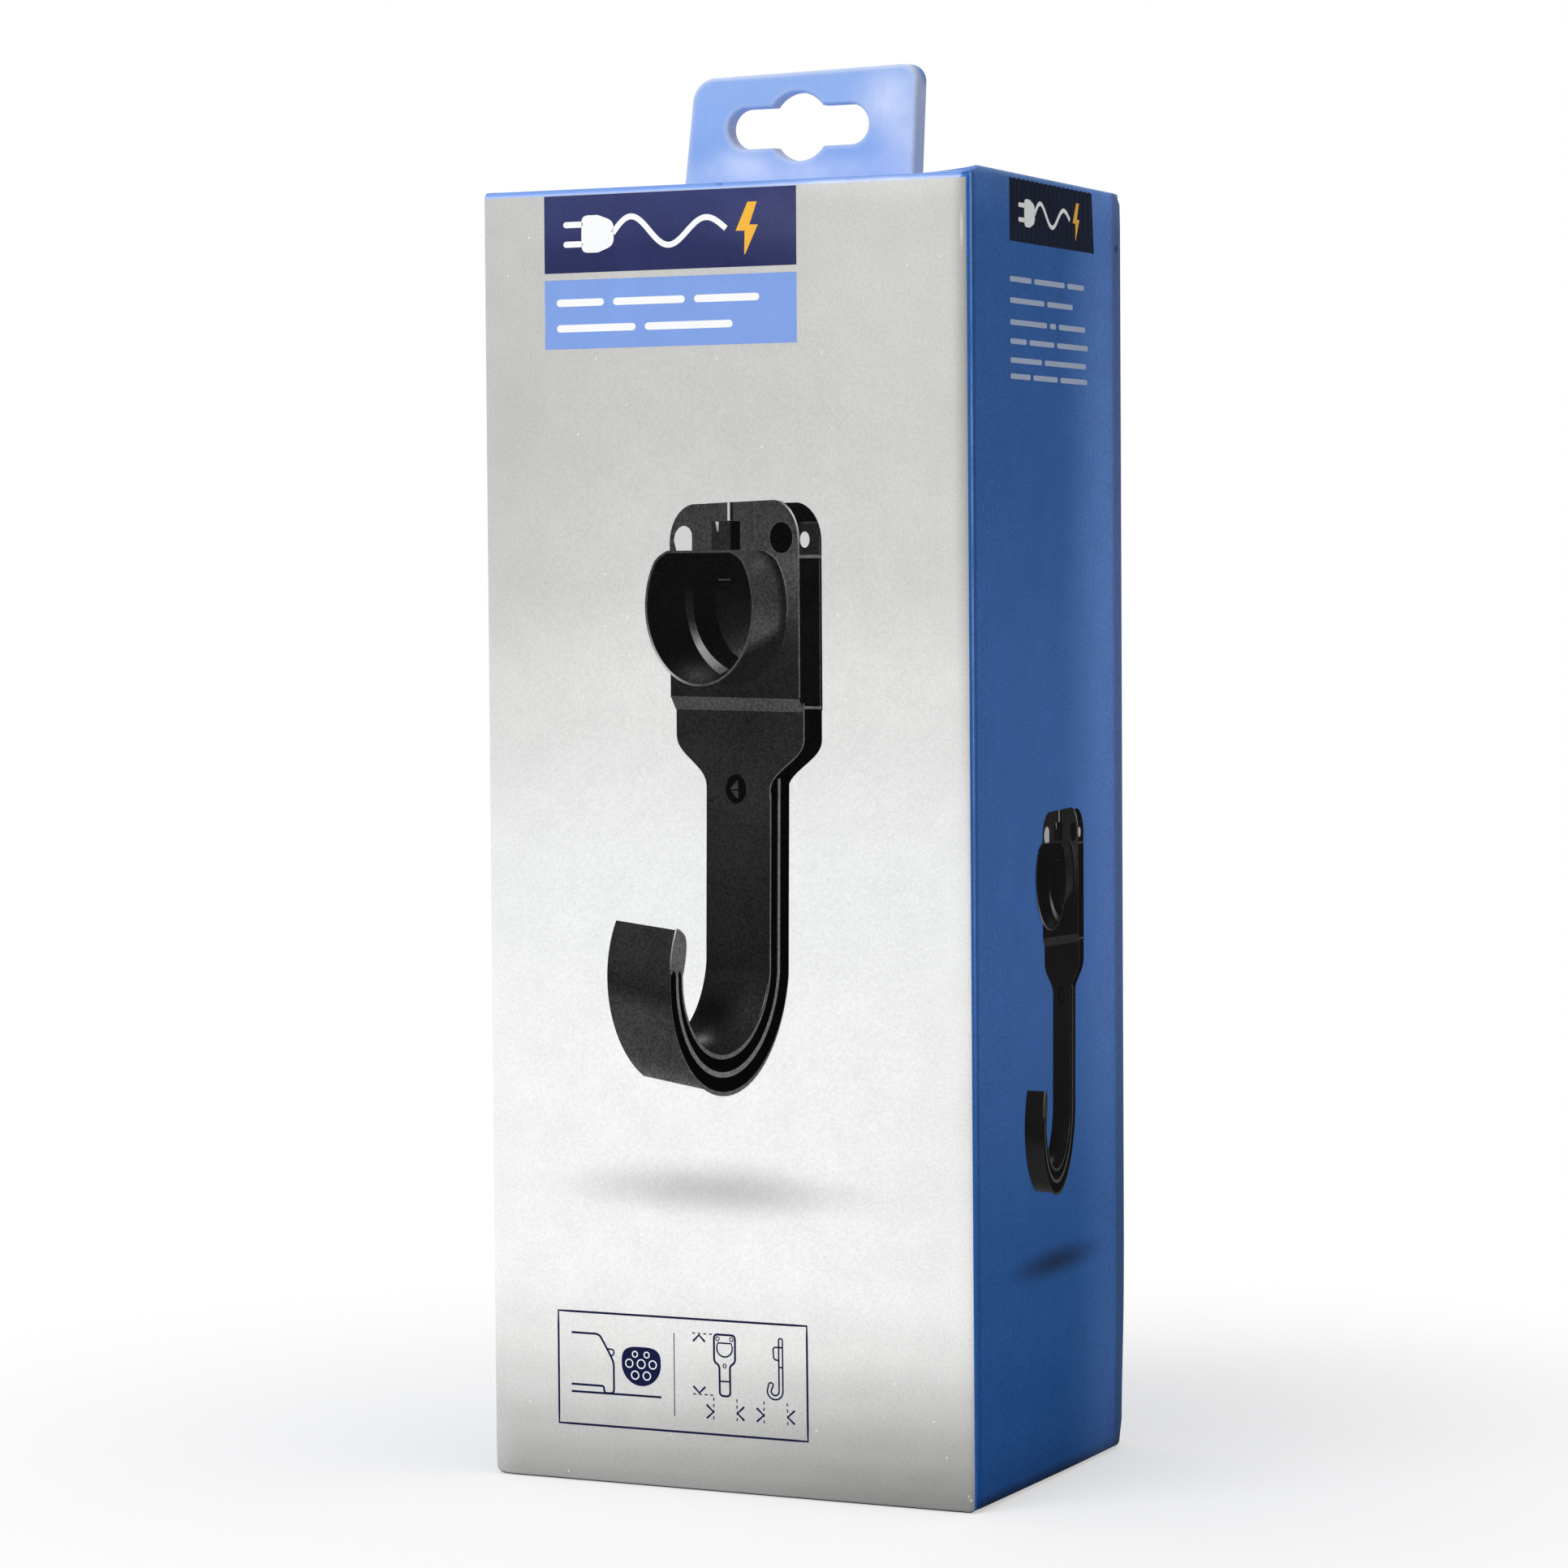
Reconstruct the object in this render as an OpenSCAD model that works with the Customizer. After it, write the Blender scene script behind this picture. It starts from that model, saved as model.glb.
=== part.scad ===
// Hang-tab retail carton for a wall-mounted holder of an electric-car charging connector.
// One folded and glued blank of corrugated board, closed round its contents and modelled as one solid.
// Millimetres. The origin is the centre of the base, +Z is up and the front panel faces -Y.

/* [Carton] */
// Outside width across the front panel
carton_w = 115; // [90:1:140]
// Outside depth from front panel to back panel
carton_d = 87; // [70:1:110]
// Outside height without the hang tab
carton_h = 280; // [220:1:320]

/* [Board] */
// Thickness of the fine-fluted board
board_t = 0.9; // [0.6:0.1:1.6]
// Outside radius of the two tight upright folds beside the front panel
front_fold_r = 1.5; // [0.8:0.1:4]
// Outside radius of the folds where the flaps turn over the top and the base
flap_fold_r = 0.9; // [0.6:0.1:2]
// Length of the soft roll along each side panel at the rear folds
rear_roll_l = 7; // [4:0.5:14]
// Distance that the soft roll pulls in from each side panel
rear_roll_in = 1; // [0.5:0.1:3]

/* [Flaps] */
// Gap between the two flaps that meet on the top and on the base
flap_gap = 0.8; // [0.4:0.1:2]
// Distance of the flaps' cut edges from the panels that they cross
flap_inset = 0.7; // [0.3:0.1:1.5]
// Width of the glued seam beside the left rear fold
glue_seam_w = 0.5; // [0.3:0.1:1]
// Depth of the glued seam
glue_seam_depth = 0.6; // [0.3:0.1:1]

/* [Hang tab] */
// Width of the tab at its valley folds
tab_w = 55.8; // [48:0.1:80]
// Height of the tab above its valley folds, at its middle
tab_h = 27.4; // [26:0.1:40]
// Distance of the tab in front of the carton's middle
tab_forward = 3.4; // [0:0.1:8]
// Number of layers of board in the tab, half of them from each of the two flaps
tab_layers = 4; // [2:2:6]
// Thickness of the glue between two layers of the tab
tab_glue_t = 0.3; // [0.05:0.05:0.4]
// Radius of the tab's left upper corner
tab_left_r = 5.7; // [2:0.1:10]
// Radius of the tab's right upper corner
tab_right_r = 3.8; // [2:0.1:10]
// Angle by which the left edge of the tab leans inwards
tab_taper_left = 7.8; // [0:0.1:10]
// Angle by which the right edge leans outwards, because the tab is cut with a skew
tab_flare_right = 3.4; // [-4:0.1:5]
// Angle by which the tab's top edge climbs to the right
tab_top_climb = 1; // [-3:0.1:3]
// Angle by which the tab leans forwards from upright
tab_lean = 2; // [0:0.5:8]
// Radius of the valley folds where the two halves of the tab turn up
tab_fold_r = 0.6; // [0.3:0.1:0.8]
// Width of the open seam between the two halves along the tab's cut edge
tab_seam_w = 0.4; // [0.2:0.1:0.6]
// Depth of that seam
tab_seam_depth = 0.8; // [0.4:0.1:1.5]
// Gap between the tab and the slit in the side flaps that it stands in
slit_gap = 0.9; // [0.8:0.1:2]

/* [Hang hole] */
// Height of the hole's centre above the valley folds
hole_rise = 15.5; // [14:0.5:17]
// Distance of the hole's centre to the right of the tab's middle, because of the skew
hole_shift = 0.7; // [-2:0.1:2]
// End-to-end width of the slot
slot_w = 33.7; // [28:0.1:36]
// Height of the slot
slot_h = 8.8; // [6:0.1:10]
// Diameter of the round middle of the hole
hole_d = 14.9; // [11:0.1:17]

/* [Hidden] */
$fn = 64;

half_w = carton_w / 2;
half_d = carton_d / 2;
// On the top the side flaps lie over the front and back flaps, and on the base they lie inside them.
front_top = carton_h - board_t;
side_base = board_t;
// Number of flat facets in each soft rear roll
rear_roll_steps = 10;
tab_t = tab_layers * board_t + (tab_layers - 1) * tab_glue_t;
tab_half_w = tab_w / 2;
// Length by which a joining piece reaches into its neighbour, so that the two become one solid
root = board_t / 2;
// Overshoot of a cutting tool past the surface that it cuts
past = 1;

// Points along a quarter of an ellipse from the angle start, with its centre at c and half-axes a
function quarter_ellipse(c, a, start, steps) = [
    for (i = [0:steps])
        let (angle = start + 90 * i / steps)
        [c.x + a.x * cos(angle), c.y + a.y * sin(angle)]
];

// Point at the same distance in from the tab's left edge, which leans in by lean, and from its top edge
function tab_corner(lean, climb, distance) =
    let (from_side = distance - tab_half_w * cos(lean), from_top = distance - tab_h * cos(climb))
    [from_side * cos(climb) - from_top * sin(lean), from_side * sin(climb) - from_top * cos(lean)] / cos(lean + climb);

// Outline from the tab's root up its left edge and round the upper corner, with its edges drawn in by inset
function tab_left_half(lean, climb, corner_r, inset) =
    let (r = corner_r - inset, centre = tab_corner(lean, climb, corner_r))
    [
        [inset / cos(lean) - tab_half_w - root * tan(lean), -root],
        centre - r * [cos(lean), -sin(lean)],
        centre - r * [sin(climb), -cos(climb)]
    ];

// Mirror image of points about the upright middle line
function mirrored(points) = [for (i = [len(points) - 1:-1:0]) [-points[i].x, points[i].y]];

// Level section of the closed carton: tight folds at the front, soft rolls at the back.
module level_section() {
    rear_right = quarter_ellipse([half_w - rear_roll_in, half_d - rear_roll_l], [rear_roll_in, rear_roll_l],
                                 0, rear_roll_steps);
    rear_left = quarter_ellipse([rear_roll_in - half_w, half_d - rear_roll_l], [rear_roll_in, rear_roll_l],
                                90, rear_roll_steps);
    front_y = front_fold_r - half_d;
    polygon(concat([[-half_w, front_y], [half_w, front_y]], rear_right, rear_left));
    translate([front_fold_r - half_w, -half_d]) square([carton_w - 2 * front_fold_r, 2 * front_fold_r]);
    for (side = [-1, 1])
        translate([side * (half_w - front_fold_r), front_y]) circle(r = front_fold_r);
}

// Rectangle with round corners, centred on the origin.
module rounded_rectangle(size, r) {
    square([size.x, size.y - 2 * r], center = true);
    square([size.x - 2 * r, size.y], center = true);
    for (x = [-1, 1], y = [-1, 1])
        translate([x * (size.x / 2 - r), y * (size.y / 2 - r)]) circle(r = r);
}

// Slice along X with the folds of the front and back panels at its top and base.
module front_and_back(width) {
    translate([-width / 2, 0, front_top / 2])
        rotate([90, 0, 90])
            linear_extrude(width) rounded_rectangle([carton_d, front_top], flap_fold_r);
}

// Slice along Y with the folds of the side panels at its top and base.
module sides(depth) {
    translate([0, depth / 2, (side_base + carton_h) / 2])
        rotate([90, 0, 0])
            linear_extrude(depth) rounded_rectangle([carton_w, carton_h - side_base], flap_fold_r);
}

// Four upright panels between the flaps.
module upright_panels() {
    intersection() {
        translate([0, 0, side_base]) linear_extrude(front_top - side_base) level_section();
        front_and_back(carton_w);
        sides(carton_d);
    }
}

// Front and back panels with their flaps: outermost on the base, under the side flaps on the top.
module front_and_back_flaps() {
    intersection() {
        linear_extrude(carton_h) level_section();
        front_and_back(carton_w - 2 * flap_inset);
    }
}

// Side panels with their flaps: outermost on the top, inside the front and back flaps on the base.
module side_flaps() {
    intersection() {
        linear_extrude(carton_h) level_section();
        sides(carton_d - 2 * flap_inset);
    }
}

// Open seam across the top, where the two side flaps meet.
module top_seam() {
    translate([-flap_gap / 2, -half_d - past, front_top])
        cube([flap_gap, carton_d + 2 * past, board_t + past]);
}

// Open seam along the base, where the front and back flaps meet.
module base_seam() {
    translate([-half_w - past, -flap_gap / 2, -past])
        cube([carton_w + 2 * past, flap_gap, board_t + past]);
}

// Slit in the side flaps that the hang tab stands in.
module tab_slit() {
    slit = [tab_w + 2 * slit_gap, tab_t + 2 * slit_gap];
    translate([-slit.x / 2, -slit.y / 2 - tab_forward, front_top]) cube([slit.x, slit.y, board_t + past]);
}

// Upright seam on the back panel where the blank is glued to itself.
module glue_seam() {
    translate([rear_roll_in - half_w, half_d - glue_seam_depth, -past])
        cube([glue_seam_w, glue_seam_depth + past, carton_h + 2 * past]);
}

// Outline of the tab from its root up, with its cut edges drawn in by inset.
module tab_outline(inset) {
    polygon(concat(
        tab_left_half(tab_taper_left, tab_top_climb, tab_left_r, inset),
        mirrored(tab_left_half(-tab_flare_right, -tab_top_climb, tab_right_r, inset))
    ));
    right = tab_corner(-tab_flare_right, -tab_top_climb, tab_right_r);
    translate(tab_corner(tab_taper_left, tab_top_climb, tab_left_r)) circle(r = tab_left_r - inset);
    translate([-right.x, right.y]) circle(r = tab_right_r - inset);
}

// Slot with a round middle that takes a single or a double display hook.
module hang_hole_outline() {
    slot_r = slot_h / 2;
    translate([hole_shift, hole_rise]) {
        square([slot_w - slot_h, slot_h], center = true);
        for (side = [-1, 1])
            translate([side * (slot_w / 2 - slot_r), 0]) circle(r = slot_r);
        circle(d = hole_d);
    }
}

// Stands a flat outline up across the carton, with the given thickness about the middle.
module upright(thickness) {
    translate([0, thickness / 2, 0]) rotate([90, 0, 0]) linear_extrude(thickness) children();
}

// Layers of board that turn up from the front and back flaps, with the hang hole punched through all.
module hang_tab() {
    translate([0, -tab_forward, front_top]) rotate([tab_lean, 0, 0])
        difference() {
            upright(tab_t) tab_outline(0);
            upright(tab_seam_w) difference() {
                tab_outline(-past);
                tab_outline(tab_seam_depth);
                translate([-carton_w, -carton_w]) square([2 * carton_w, carton_w + board_t + past]);
            }
            upright(tab_t + 2 * past) hang_hole_outline();
        }
}

// Valley folds that carry the front and back flaps up into the two halves of the tab.
module tab_valley_folds() {
    fold_y = tab_t / 2 + tab_fold_r;
    translate([-tab_half_w, -tab_forward, front_top])
        difference() {
            translate([0, -fold_y, -root]) cube([tab_w, 2 * fold_y, root + tab_fold_r]);
            for (side = [-1, 1])
                translate([-past, side * fold_y, tab_fold_r])
                    rotate([0, 90, 0]) cylinder(r = tab_fold_r, h = tab_w + 2 * past);
        }
}

module carton() {
    color("cornflowerblue") {
        difference() {
            union() {
                upright_panels();
                front_and_back_flaps();
                side_flaps();
            }
            top_seam();
            base_seam();
            tab_slit();
            glue_seam();
        }
        tab_valley_folds();
        hang_tab();
    }
}

carton();
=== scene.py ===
# %% [markdown]
# # A printed carton with a hang tab
# The real thing is one blank of thin fluted board: printed flat, creased, folded into a tall box and
# glued shut, with a doubled tab on top for a shop hook. The CAD model gives its exact form as one solid.
# Here the same form is dressed as folded, printed board. We load the solid first, because every sheet
# below takes its place and its overall size from it.

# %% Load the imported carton
import math
from collections import namedtuple

import bpy
import numpy as np
from mathutils import Matrix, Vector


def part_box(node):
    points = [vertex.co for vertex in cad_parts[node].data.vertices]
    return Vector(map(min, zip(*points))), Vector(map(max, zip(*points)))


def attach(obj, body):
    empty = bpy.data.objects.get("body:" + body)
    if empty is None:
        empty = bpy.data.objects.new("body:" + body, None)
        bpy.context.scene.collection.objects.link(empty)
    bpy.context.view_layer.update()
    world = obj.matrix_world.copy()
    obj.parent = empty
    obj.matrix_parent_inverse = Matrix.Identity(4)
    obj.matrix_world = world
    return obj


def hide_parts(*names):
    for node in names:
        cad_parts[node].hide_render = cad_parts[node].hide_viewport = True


MM = 0.001
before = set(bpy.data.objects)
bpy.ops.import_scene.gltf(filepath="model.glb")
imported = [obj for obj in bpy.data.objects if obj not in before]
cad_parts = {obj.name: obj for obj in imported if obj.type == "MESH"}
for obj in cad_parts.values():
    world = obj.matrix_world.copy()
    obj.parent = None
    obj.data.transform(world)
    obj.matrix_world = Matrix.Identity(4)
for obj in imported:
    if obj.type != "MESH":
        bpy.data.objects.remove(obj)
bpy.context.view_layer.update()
_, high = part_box("carton")
half_w = high.x / MM
half_d = high.y / MM
print(f"carton: {2 * half_w:.1f} x {2 * half_d:.1f} mm, tab top at {high.z / MM:.1f} mm")

# %% [markdown]
# ## The camera
# A product photographer stands well back with a long lens, so the upright edges stay nearly parallel.
# The camera could be placed by eye. It is worked out here from two angles, a distance and a focal length
# instead, because then the picture's perspective is exactly that of the photograph.

# %% Place the camera
sensor_mm = 36
lens_mm = 108.81
camera_at_mm = np.array([446.15, -947.84, 196.89])
turn = math.radians(25.535)
dip = math.radians(2.5425)
roll = math.radians(-0.4088)

back = np.array([math.sin(turn) * math.cos(dip), -math.cos(turn) * math.cos(dip), math.sin(dip)])
level_right = np.array([math.cos(turn), math.sin(turn), 0])
level_up = np.cross(back, level_right)
right = math.cos(roll) * level_right + math.sin(roll) * level_up
up = math.cos(roll) * level_up - math.sin(roll) * level_right

camera = bpy.data.objects.new("camera", bpy.data.cameras.new("camera"))
camera.data.sensor_width = sensor_mm
camera.data.lens = lens_mm
pose = np.eye(4)
pose[:3] = np.column_stack([right, up, back, camera_at_mm * MM])
camera.matrix_world = Matrix(pose.tolist())
bpy.context.collection.objects.link(camera)
bpy.context.scene.camera = camera
bpy.context.scene.view_settings.view_transform = "Standard"
print(f"camera {np.linalg.norm(camera_at_mm):.0f} mm from the carton's foot")

# %% [markdown]
# ## One way to add nodes
# Every finish below is a small graph of nodes. Writing each node out takes four lines, so one helper adds
# a node, sets its properties and feeds its inputs. Colours are noted as sRGB hex values, as a printer's
# swatch would be, and turned to the linear values that the renderer works with.

# %% Helpers for colours and nodes
def linear(value):
    """sRGB 0 to 1 to linear light: a short straight part near black, then a power of 2.4."""
    value = np.asarray(value, float)
    return np.where(value <= 0.04045, value / 12.92, ((value + 0.055) / 1.055) ** 2.4)


def ink(hex_code):
    """Linear RGBA of an sRGB hex colour."""
    channels = [int(hex_code[i:i + 2], 16) / 255 for i in (0, 2, 4)]
    return (*linear(channels).tolist(), 1.0)


def add(tree, kind, inputs=None, **settings):
    """Adds a shader node, sets its properties, and gives each named input a value or a link."""
    made = tree.nodes.new("ShaderNode" + kind)
    for name, value in settings.items():
        setattr(made, name, value)
    for key, value in (inputs or {}).items():
        if isinstance(value, bpy.types.NodeSocket):
            tree.links.new(value, made.inputs[key])
        else:
            made.inputs[key].default_value = value
    return made


print(f"mid grey 808080 is {ink('808080')[0]:.3f} in linear light")

# %% [markdown]
# ## Floor and light
# The carton stands on a white sweep under plain soft light. A curved backdrop would do, but a flat floor
# that fades into pure white away from the carton is simpler and keeps the soft shadow at its foot. The
# white comes from the floor's and the world's own colour for rays that the eye sees, not from extra light.

# %% Floor, world and lamps
floor_reach = 6.0
floor_drop = 0.0001
fade_from, fade_to = 0.09, 0.3
white_at_foot = 0.5
corners = [(-floor_reach, -floor_reach), (floor_reach, -floor_reach),
           (floor_reach, floor_reach), (-floor_reach, floor_reach)]
floor_mesh = bpy.data.meshes.new("floor")
floor_mesh.from_pydata([(x, y, -floor_drop) for x, y in corners], [], [(0, 1, 2, 3)])
floor = bpy.data.objects.new("floor", floor_mesh)
bpy.context.collection.objects.link(floor)


def seen_directly(tree):
    """1 for a ray from the eye, from a reflection or through glass, and 0 for one that only carries light."""
    path = add(tree, "LightPath").outputs
    seen = path["Is Camera Ray"]
    for kind in ("Is Glossy Ray", "Is Transmission Ray"):
        seen = add(tree, "Math", {0: seen, 1: path[kind]}, operation="MAXIMUM").outputs[0]
    return seen


paper_sweep = bpy.data.materials.new("white_paper_sweep")
paper_sweep.use_nodes = True
tree = paper_sweep.node_tree
tree.nodes.clear()
place = add(tree, "TexCoord").outputs["Object"]
radius = add(tree, "VectorMath", {0: place}, operation="LENGTH").outputs["Value"]
fade = add(tree, "MapRange", {
    "Value": radius, "From Min": fade_from, "From Max": fade_to, "To Min": white_at_foot,
}, interpolation_type="SMOOTHSTEP").outputs["Result"]
white_share = add(tree, "Math", {0: fade, 1: seen_directly(tree)}, operation="MULTIPLY").outputs[0]
matt = add(tree, "BsdfDiffuse", {"Color": ink("fafafa")}).outputs[0]
glow = add(tree, "Emission", {"Color": (1, 1, 1, 1), "Strength": 1.0}).outputs[0]
mixed = add(tree, "MixShader", {0: white_share, 1: matt, 2: glow}).outputs[0]
add(tree, "OutputMaterial", {"Surface": mixed})
floor_mesh.materials.append(paper_sweep)

room_light = 0.36
world = bpy.data.worlds.new("white_room")
world.use_nodes = True
tree = world.node_tree
tree.nodes.clear()
strength = add(tree, "MapRange", {"Value": seen_directly(tree), "To Min": room_light, "To Max": 1.0})
sky = add(tree, "Background", {"Color": (1, 1, 1, 1), "Strength": strength.outputs["Result"]})
add(tree, "OutputWorld", {"Surface": sky.outputs[0]})
bpy.context.scene.world = world


def soft_lamp(name, place_m, aim_m, size_m, watts):
    """A square area lamp at one point that faces another, as a studio soft box does."""
    lamp = bpy.data.objects.new(name, bpy.data.lights.new(name, "AREA"))
    lamp.data.size = size_m
    lamp.data.energy = watts
    to_lamp = np.subtract(place_m, aim_m)
    to_lamp = to_lamp / np.linalg.norm(to_lamp)
    side = np.cross((0, 0, 1), to_lamp)
    side = side / np.linalg.norm(side)
    lamp_pose = np.eye(4)
    lamp_pose[:3] = np.column_stack([side, np.cross(to_lamp, side), to_lamp, place_m])
    lamp.matrix_world = Matrix(lamp_pose.tolist())
    bpy.context.collection.objects.link(lamp)


soft_lamp("key_soft_box", (-0.5, -1.25, 1.0), (0, 0, 0.13), 1.2, 14.5)
soft_lamp("top_soft_box", (0.1, 0.05, 1.7), (0, 0, 0), 1.4, 9.0)
print("floor, world and two soft boxes")

# %% [markdown]
# ## From grids of points to pieces
# Every piece below is worked out as whole arrays: a grid of points, rows by columns, in millimetres. One
# helper joins the grids of a piece into a mesh. The sheet's cut edges are marked sharp, so that smooth
# shading stops there, and Solidify gives the sheet the thickness of board or of an ink film.

# %% Helpers for meshes
Patch = namedtuple("Patch", "points close_rows close_cols tone", defaults=(False, False, 0.0))


def grid_quads(rows, cols, close_rows, close_cols):
    """Corner numbers of a grid's quads, wrapping round to the first row or column where it closes."""
    index = np.arange(rows * cols).reshape(rows, cols)
    if close_rows:
        index = np.vstack([index, index[:1]])
    if close_cols:
        index = np.hstack([index, index[:, :1]])
    quads = np.stack([index[:-1, :-1], index[1:, :-1], index[1:, 1:], index[:-1, 1:]], axis=-1)
    return quads.reshape(-1, 4)


def mark_cut_edges(mesh):
    """An edge that only one face uses is a cut edge of the sheet, and is marked sharp."""
    used = np.empty(len(mesh.loops), np.int32)
    mesh.loops.foreach_get("edge_index", used)
    faces_at_edge = np.bincount(used, minlength=len(mesh.edges))
    sharp = mesh.attributes.new("sharp_edge", "BOOLEAN", "EDGE")
    sharp.data.foreach_set("value", faces_at_edge == 1)


def make_piece(name, patches, material, thickness=0.0):
    """Joins grids of millimetre points into one mesh in metres, and fixes it to the carton's body."""
    counts = [patch.points.shape[0] * patch.points.shape[1] for patch in patches]
    starts = np.cumsum([0] + counts[:-1])
    points = np.concatenate([patch.points.reshape(-1, 3) for patch in patches]) * MM
    quads = np.concatenate([
        start + grid_quads(*patch.points.shape[:2], patch.close_rows, patch.close_cols)
        for start, patch in zip(starts, patches)
    ])
    tones = np.concatenate([
        np.broadcast_to(patch.tone, patch.points.shape[:2]).ravel() for patch in patches
    ])
    mesh = bpy.data.meshes.new(name)
    mesh.vertices.add(len(points))
    mesh.vertices.foreach_set("co", points.ravel())
    mesh.loops.add(quads.size)
    mesh.loops.foreach_set("vertex_index", quads.ravel())
    mesh.polygons.add(len(quads))
    mesh.polygons.foreach_set("loop_start", np.arange(0, quads.size, 4))
    mesh.update(calc_edges=True)
    mesh.validate()
    mesh.shade_smooth()
    mark_cut_edges(mesh)
    if tones.any():
        mesh.attributes.new("tone", "FLOAT", "POINT").data.foreach_set("value", tones)
    mesh.materials.append(material)
    piece = bpy.data.objects.new(name, mesh)
    bpy.context.collection.objects.link(piece)
    if thickness:
        solid = piece.modifiers.new("board", "SOLIDIFY")
        solid.thickness = thickness * MM
        solid.offset = -1
    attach(piece, "root")
    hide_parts("carton")
    print(f"{name}: {len(quads)} faces")


print("quads of a grid of 3 by 4 points that closes both ways:", len(grid_quads(3, 4, True, True)))

# %% [markdown]
# ## Printed board
# The blank is white-lined fluted board, offset printed and given a satin varnish. To the eye that is an
# even colour with a faint grain, very faint upright stripes where the flutes show through, and a broad
# soft shine. All prints share that ground, so one function makes it: a fine and a coarse noise, a sine
# along x + y (which runs across the flutes on the front and on the sides alike) and a small bump. Real
# paper fibres are about 0.03 mm wide. That is too fine to show, so the grain is drawn some twenty times
# coarser. A second function tints the print in a soft spot, for printed shadows, for wear, and for
# painted light and shade.

# %% Ground of every print
flute_pitch_mm = 2.5
fibre_mm = 0.55
cloud_mm = 9.0
paper_relief_mm = 0.03


def start_print(name, roughness=0.5, shine=0.2):
    """A new material with a Principled shader; returns it, its tree, shader and place on the object."""
    material = bpy.data.materials.new(name)
    material.use_nodes = True
    tree = material.node_tree
    tree.nodes.clear()
    shader = add(tree, "BsdfPrincipled", {"IOR": 1.48, "Roughness": roughness, "Specular IOR Level": shine})
    add(tree, "OutputMaterial", {"Surface": shader.outputs[0]})
    place = add(tree, "TexCoord").outputs["Object"]
    return material, tree, shader, place


def paper_ground(tree, shader, place, colour, mottle=0.15, stripes=0.004, clouds=1.0):
    """Multiplies a colour by 1 + mottle x noise + stripes x sine, gives it to the shader with the paper's
    bump, and returns it. The noise is the fine fibre plus clouds times the coarse noise, less their mean."""
    fine = {"Vector": place, "Scale": 1 / (fibre_mm * MM), "Detail": 3.0, "Roughness": 0.6}
    fibre = add(tree, "TexNoise", fine).outputs[0]
    cloud = add(tree, "TexNoise", {"Vector": place, "Scale": 1 / (cloud_mm * MM), "Detail": 2.0}).outputs[0]
    axes = add(tree, "SeparateXYZ", {0: place}).outputs
    across = add(tree, "Math", {0: axes["X"], 1: axes["Y"]}, operation="ADD").outputs[0]
    turns = 2 * math.pi / (flute_pitch_mm * MM)
    phase = add(tree, "Math", {0: across, 1: turns}, operation="MULTIPLY").outputs[0]
    flutes = add(tree, "Math", {0: phase}, operation="SINE").outputs[0]
    flutes = add(tree, "Math", {0: flutes, 1: cloud}, operation="MULTIPLY").outputs[0]
    noise = add(tree, "Math", {0: cloud, 1: clouds, 2: fibre}, operation="MULTIPLY_ADD").outputs[0]
    level = 1 - mottle * (1 + clouds) / 2
    noise = add(tree, "Math", {0: noise, 1: mottle, 2: level}, operation="MULTIPLY_ADD").outputs[0]
    shade = add(tree, "Math", {0: flutes, 1: stripes, 2: noise}, operation="MULTIPLY_ADD").outputs[0]
    tinted = add(tree, "VectorMath", {0: colour, "Scale": shade}, operation="SCALE").outputs["Vector"]
    tree.links.new(tinted, shader.inputs["Base Color"])
    height = add(tree, "Math", {0: flutes, 1: 4 * stripes, 2: fibre}, operation="MULTIPLY_ADD").outputs[0]
    bump = add(tree, "Bump", {"Height": height, "Distance": paper_relief_mm * MM, "Strength": 0.35})
    tree.links.new(bump.outputs[0], shader.inputs["Normal"])
    return tinted


def tint_spot(tree, place, colour, hex_code, centre_mm, radii_mm, strength=1.0, uneven=None):
    """Mixes another colour in by strength at a centre, falling smoothly to 0 on an ellipsoid with those
    radii. An uneven pattern, if there is one, multiplies the share."""
    local = add(tree, "Mapping", {
        "Vector": place,
        "Location": [c * MM for c in centre_mm],
        "Scale": [r * MM for r in radii_mm],
    }, vector_type="TEXTURE").outputs[0]
    distance = add(tree, "VectorMath", {0: local}, operation="LENGTH").outputs["Value"]
    share = add(tree, "MapRange", {
        "Value": distance, "From Min": 1.0, "From Max": 0.0, "To Max": strength,
    }, interpolation_type="SMOOTHSTEP").outputs["Result"]
    if uneven is not None:
        share = add(tree, "Math", {0: share, 1: uneven}, operation="MULTIPLY").outputs[0]
    return add(tree, "Mix", {0: share, 6: colour, 7: ink(hex_code)}, data_type="RGBA").outputs[2]


def height_ramp(tree, height, span_mm, stops):
    """A colour that runs with height: each stop is a height in millimetres and a hex colour."""
    share = add(tree, "MapRange", {"Value": height, "From Min": 0.0, "From Max": span_mm * MM})
    ramp = add(tree, "ValToRGB", {0: share.outputs["Result"]})
    ramp.color_ramp.interpolation = "EASE"
    for _ in stops[2:]:
        ramp.color_ramp.elements.new(0.5)
    for element, (height_mm, hex_code) in zip(ramp.color_ramp.elements, stops):
        element.position = height_mm / span_mm
        element.color = ink(hex_code)
    return ramp.outputs["Color"]


print(f"board with flutes every {flute_pitch_mm} mm and a grain of {fibre_mm} mm")
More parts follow.
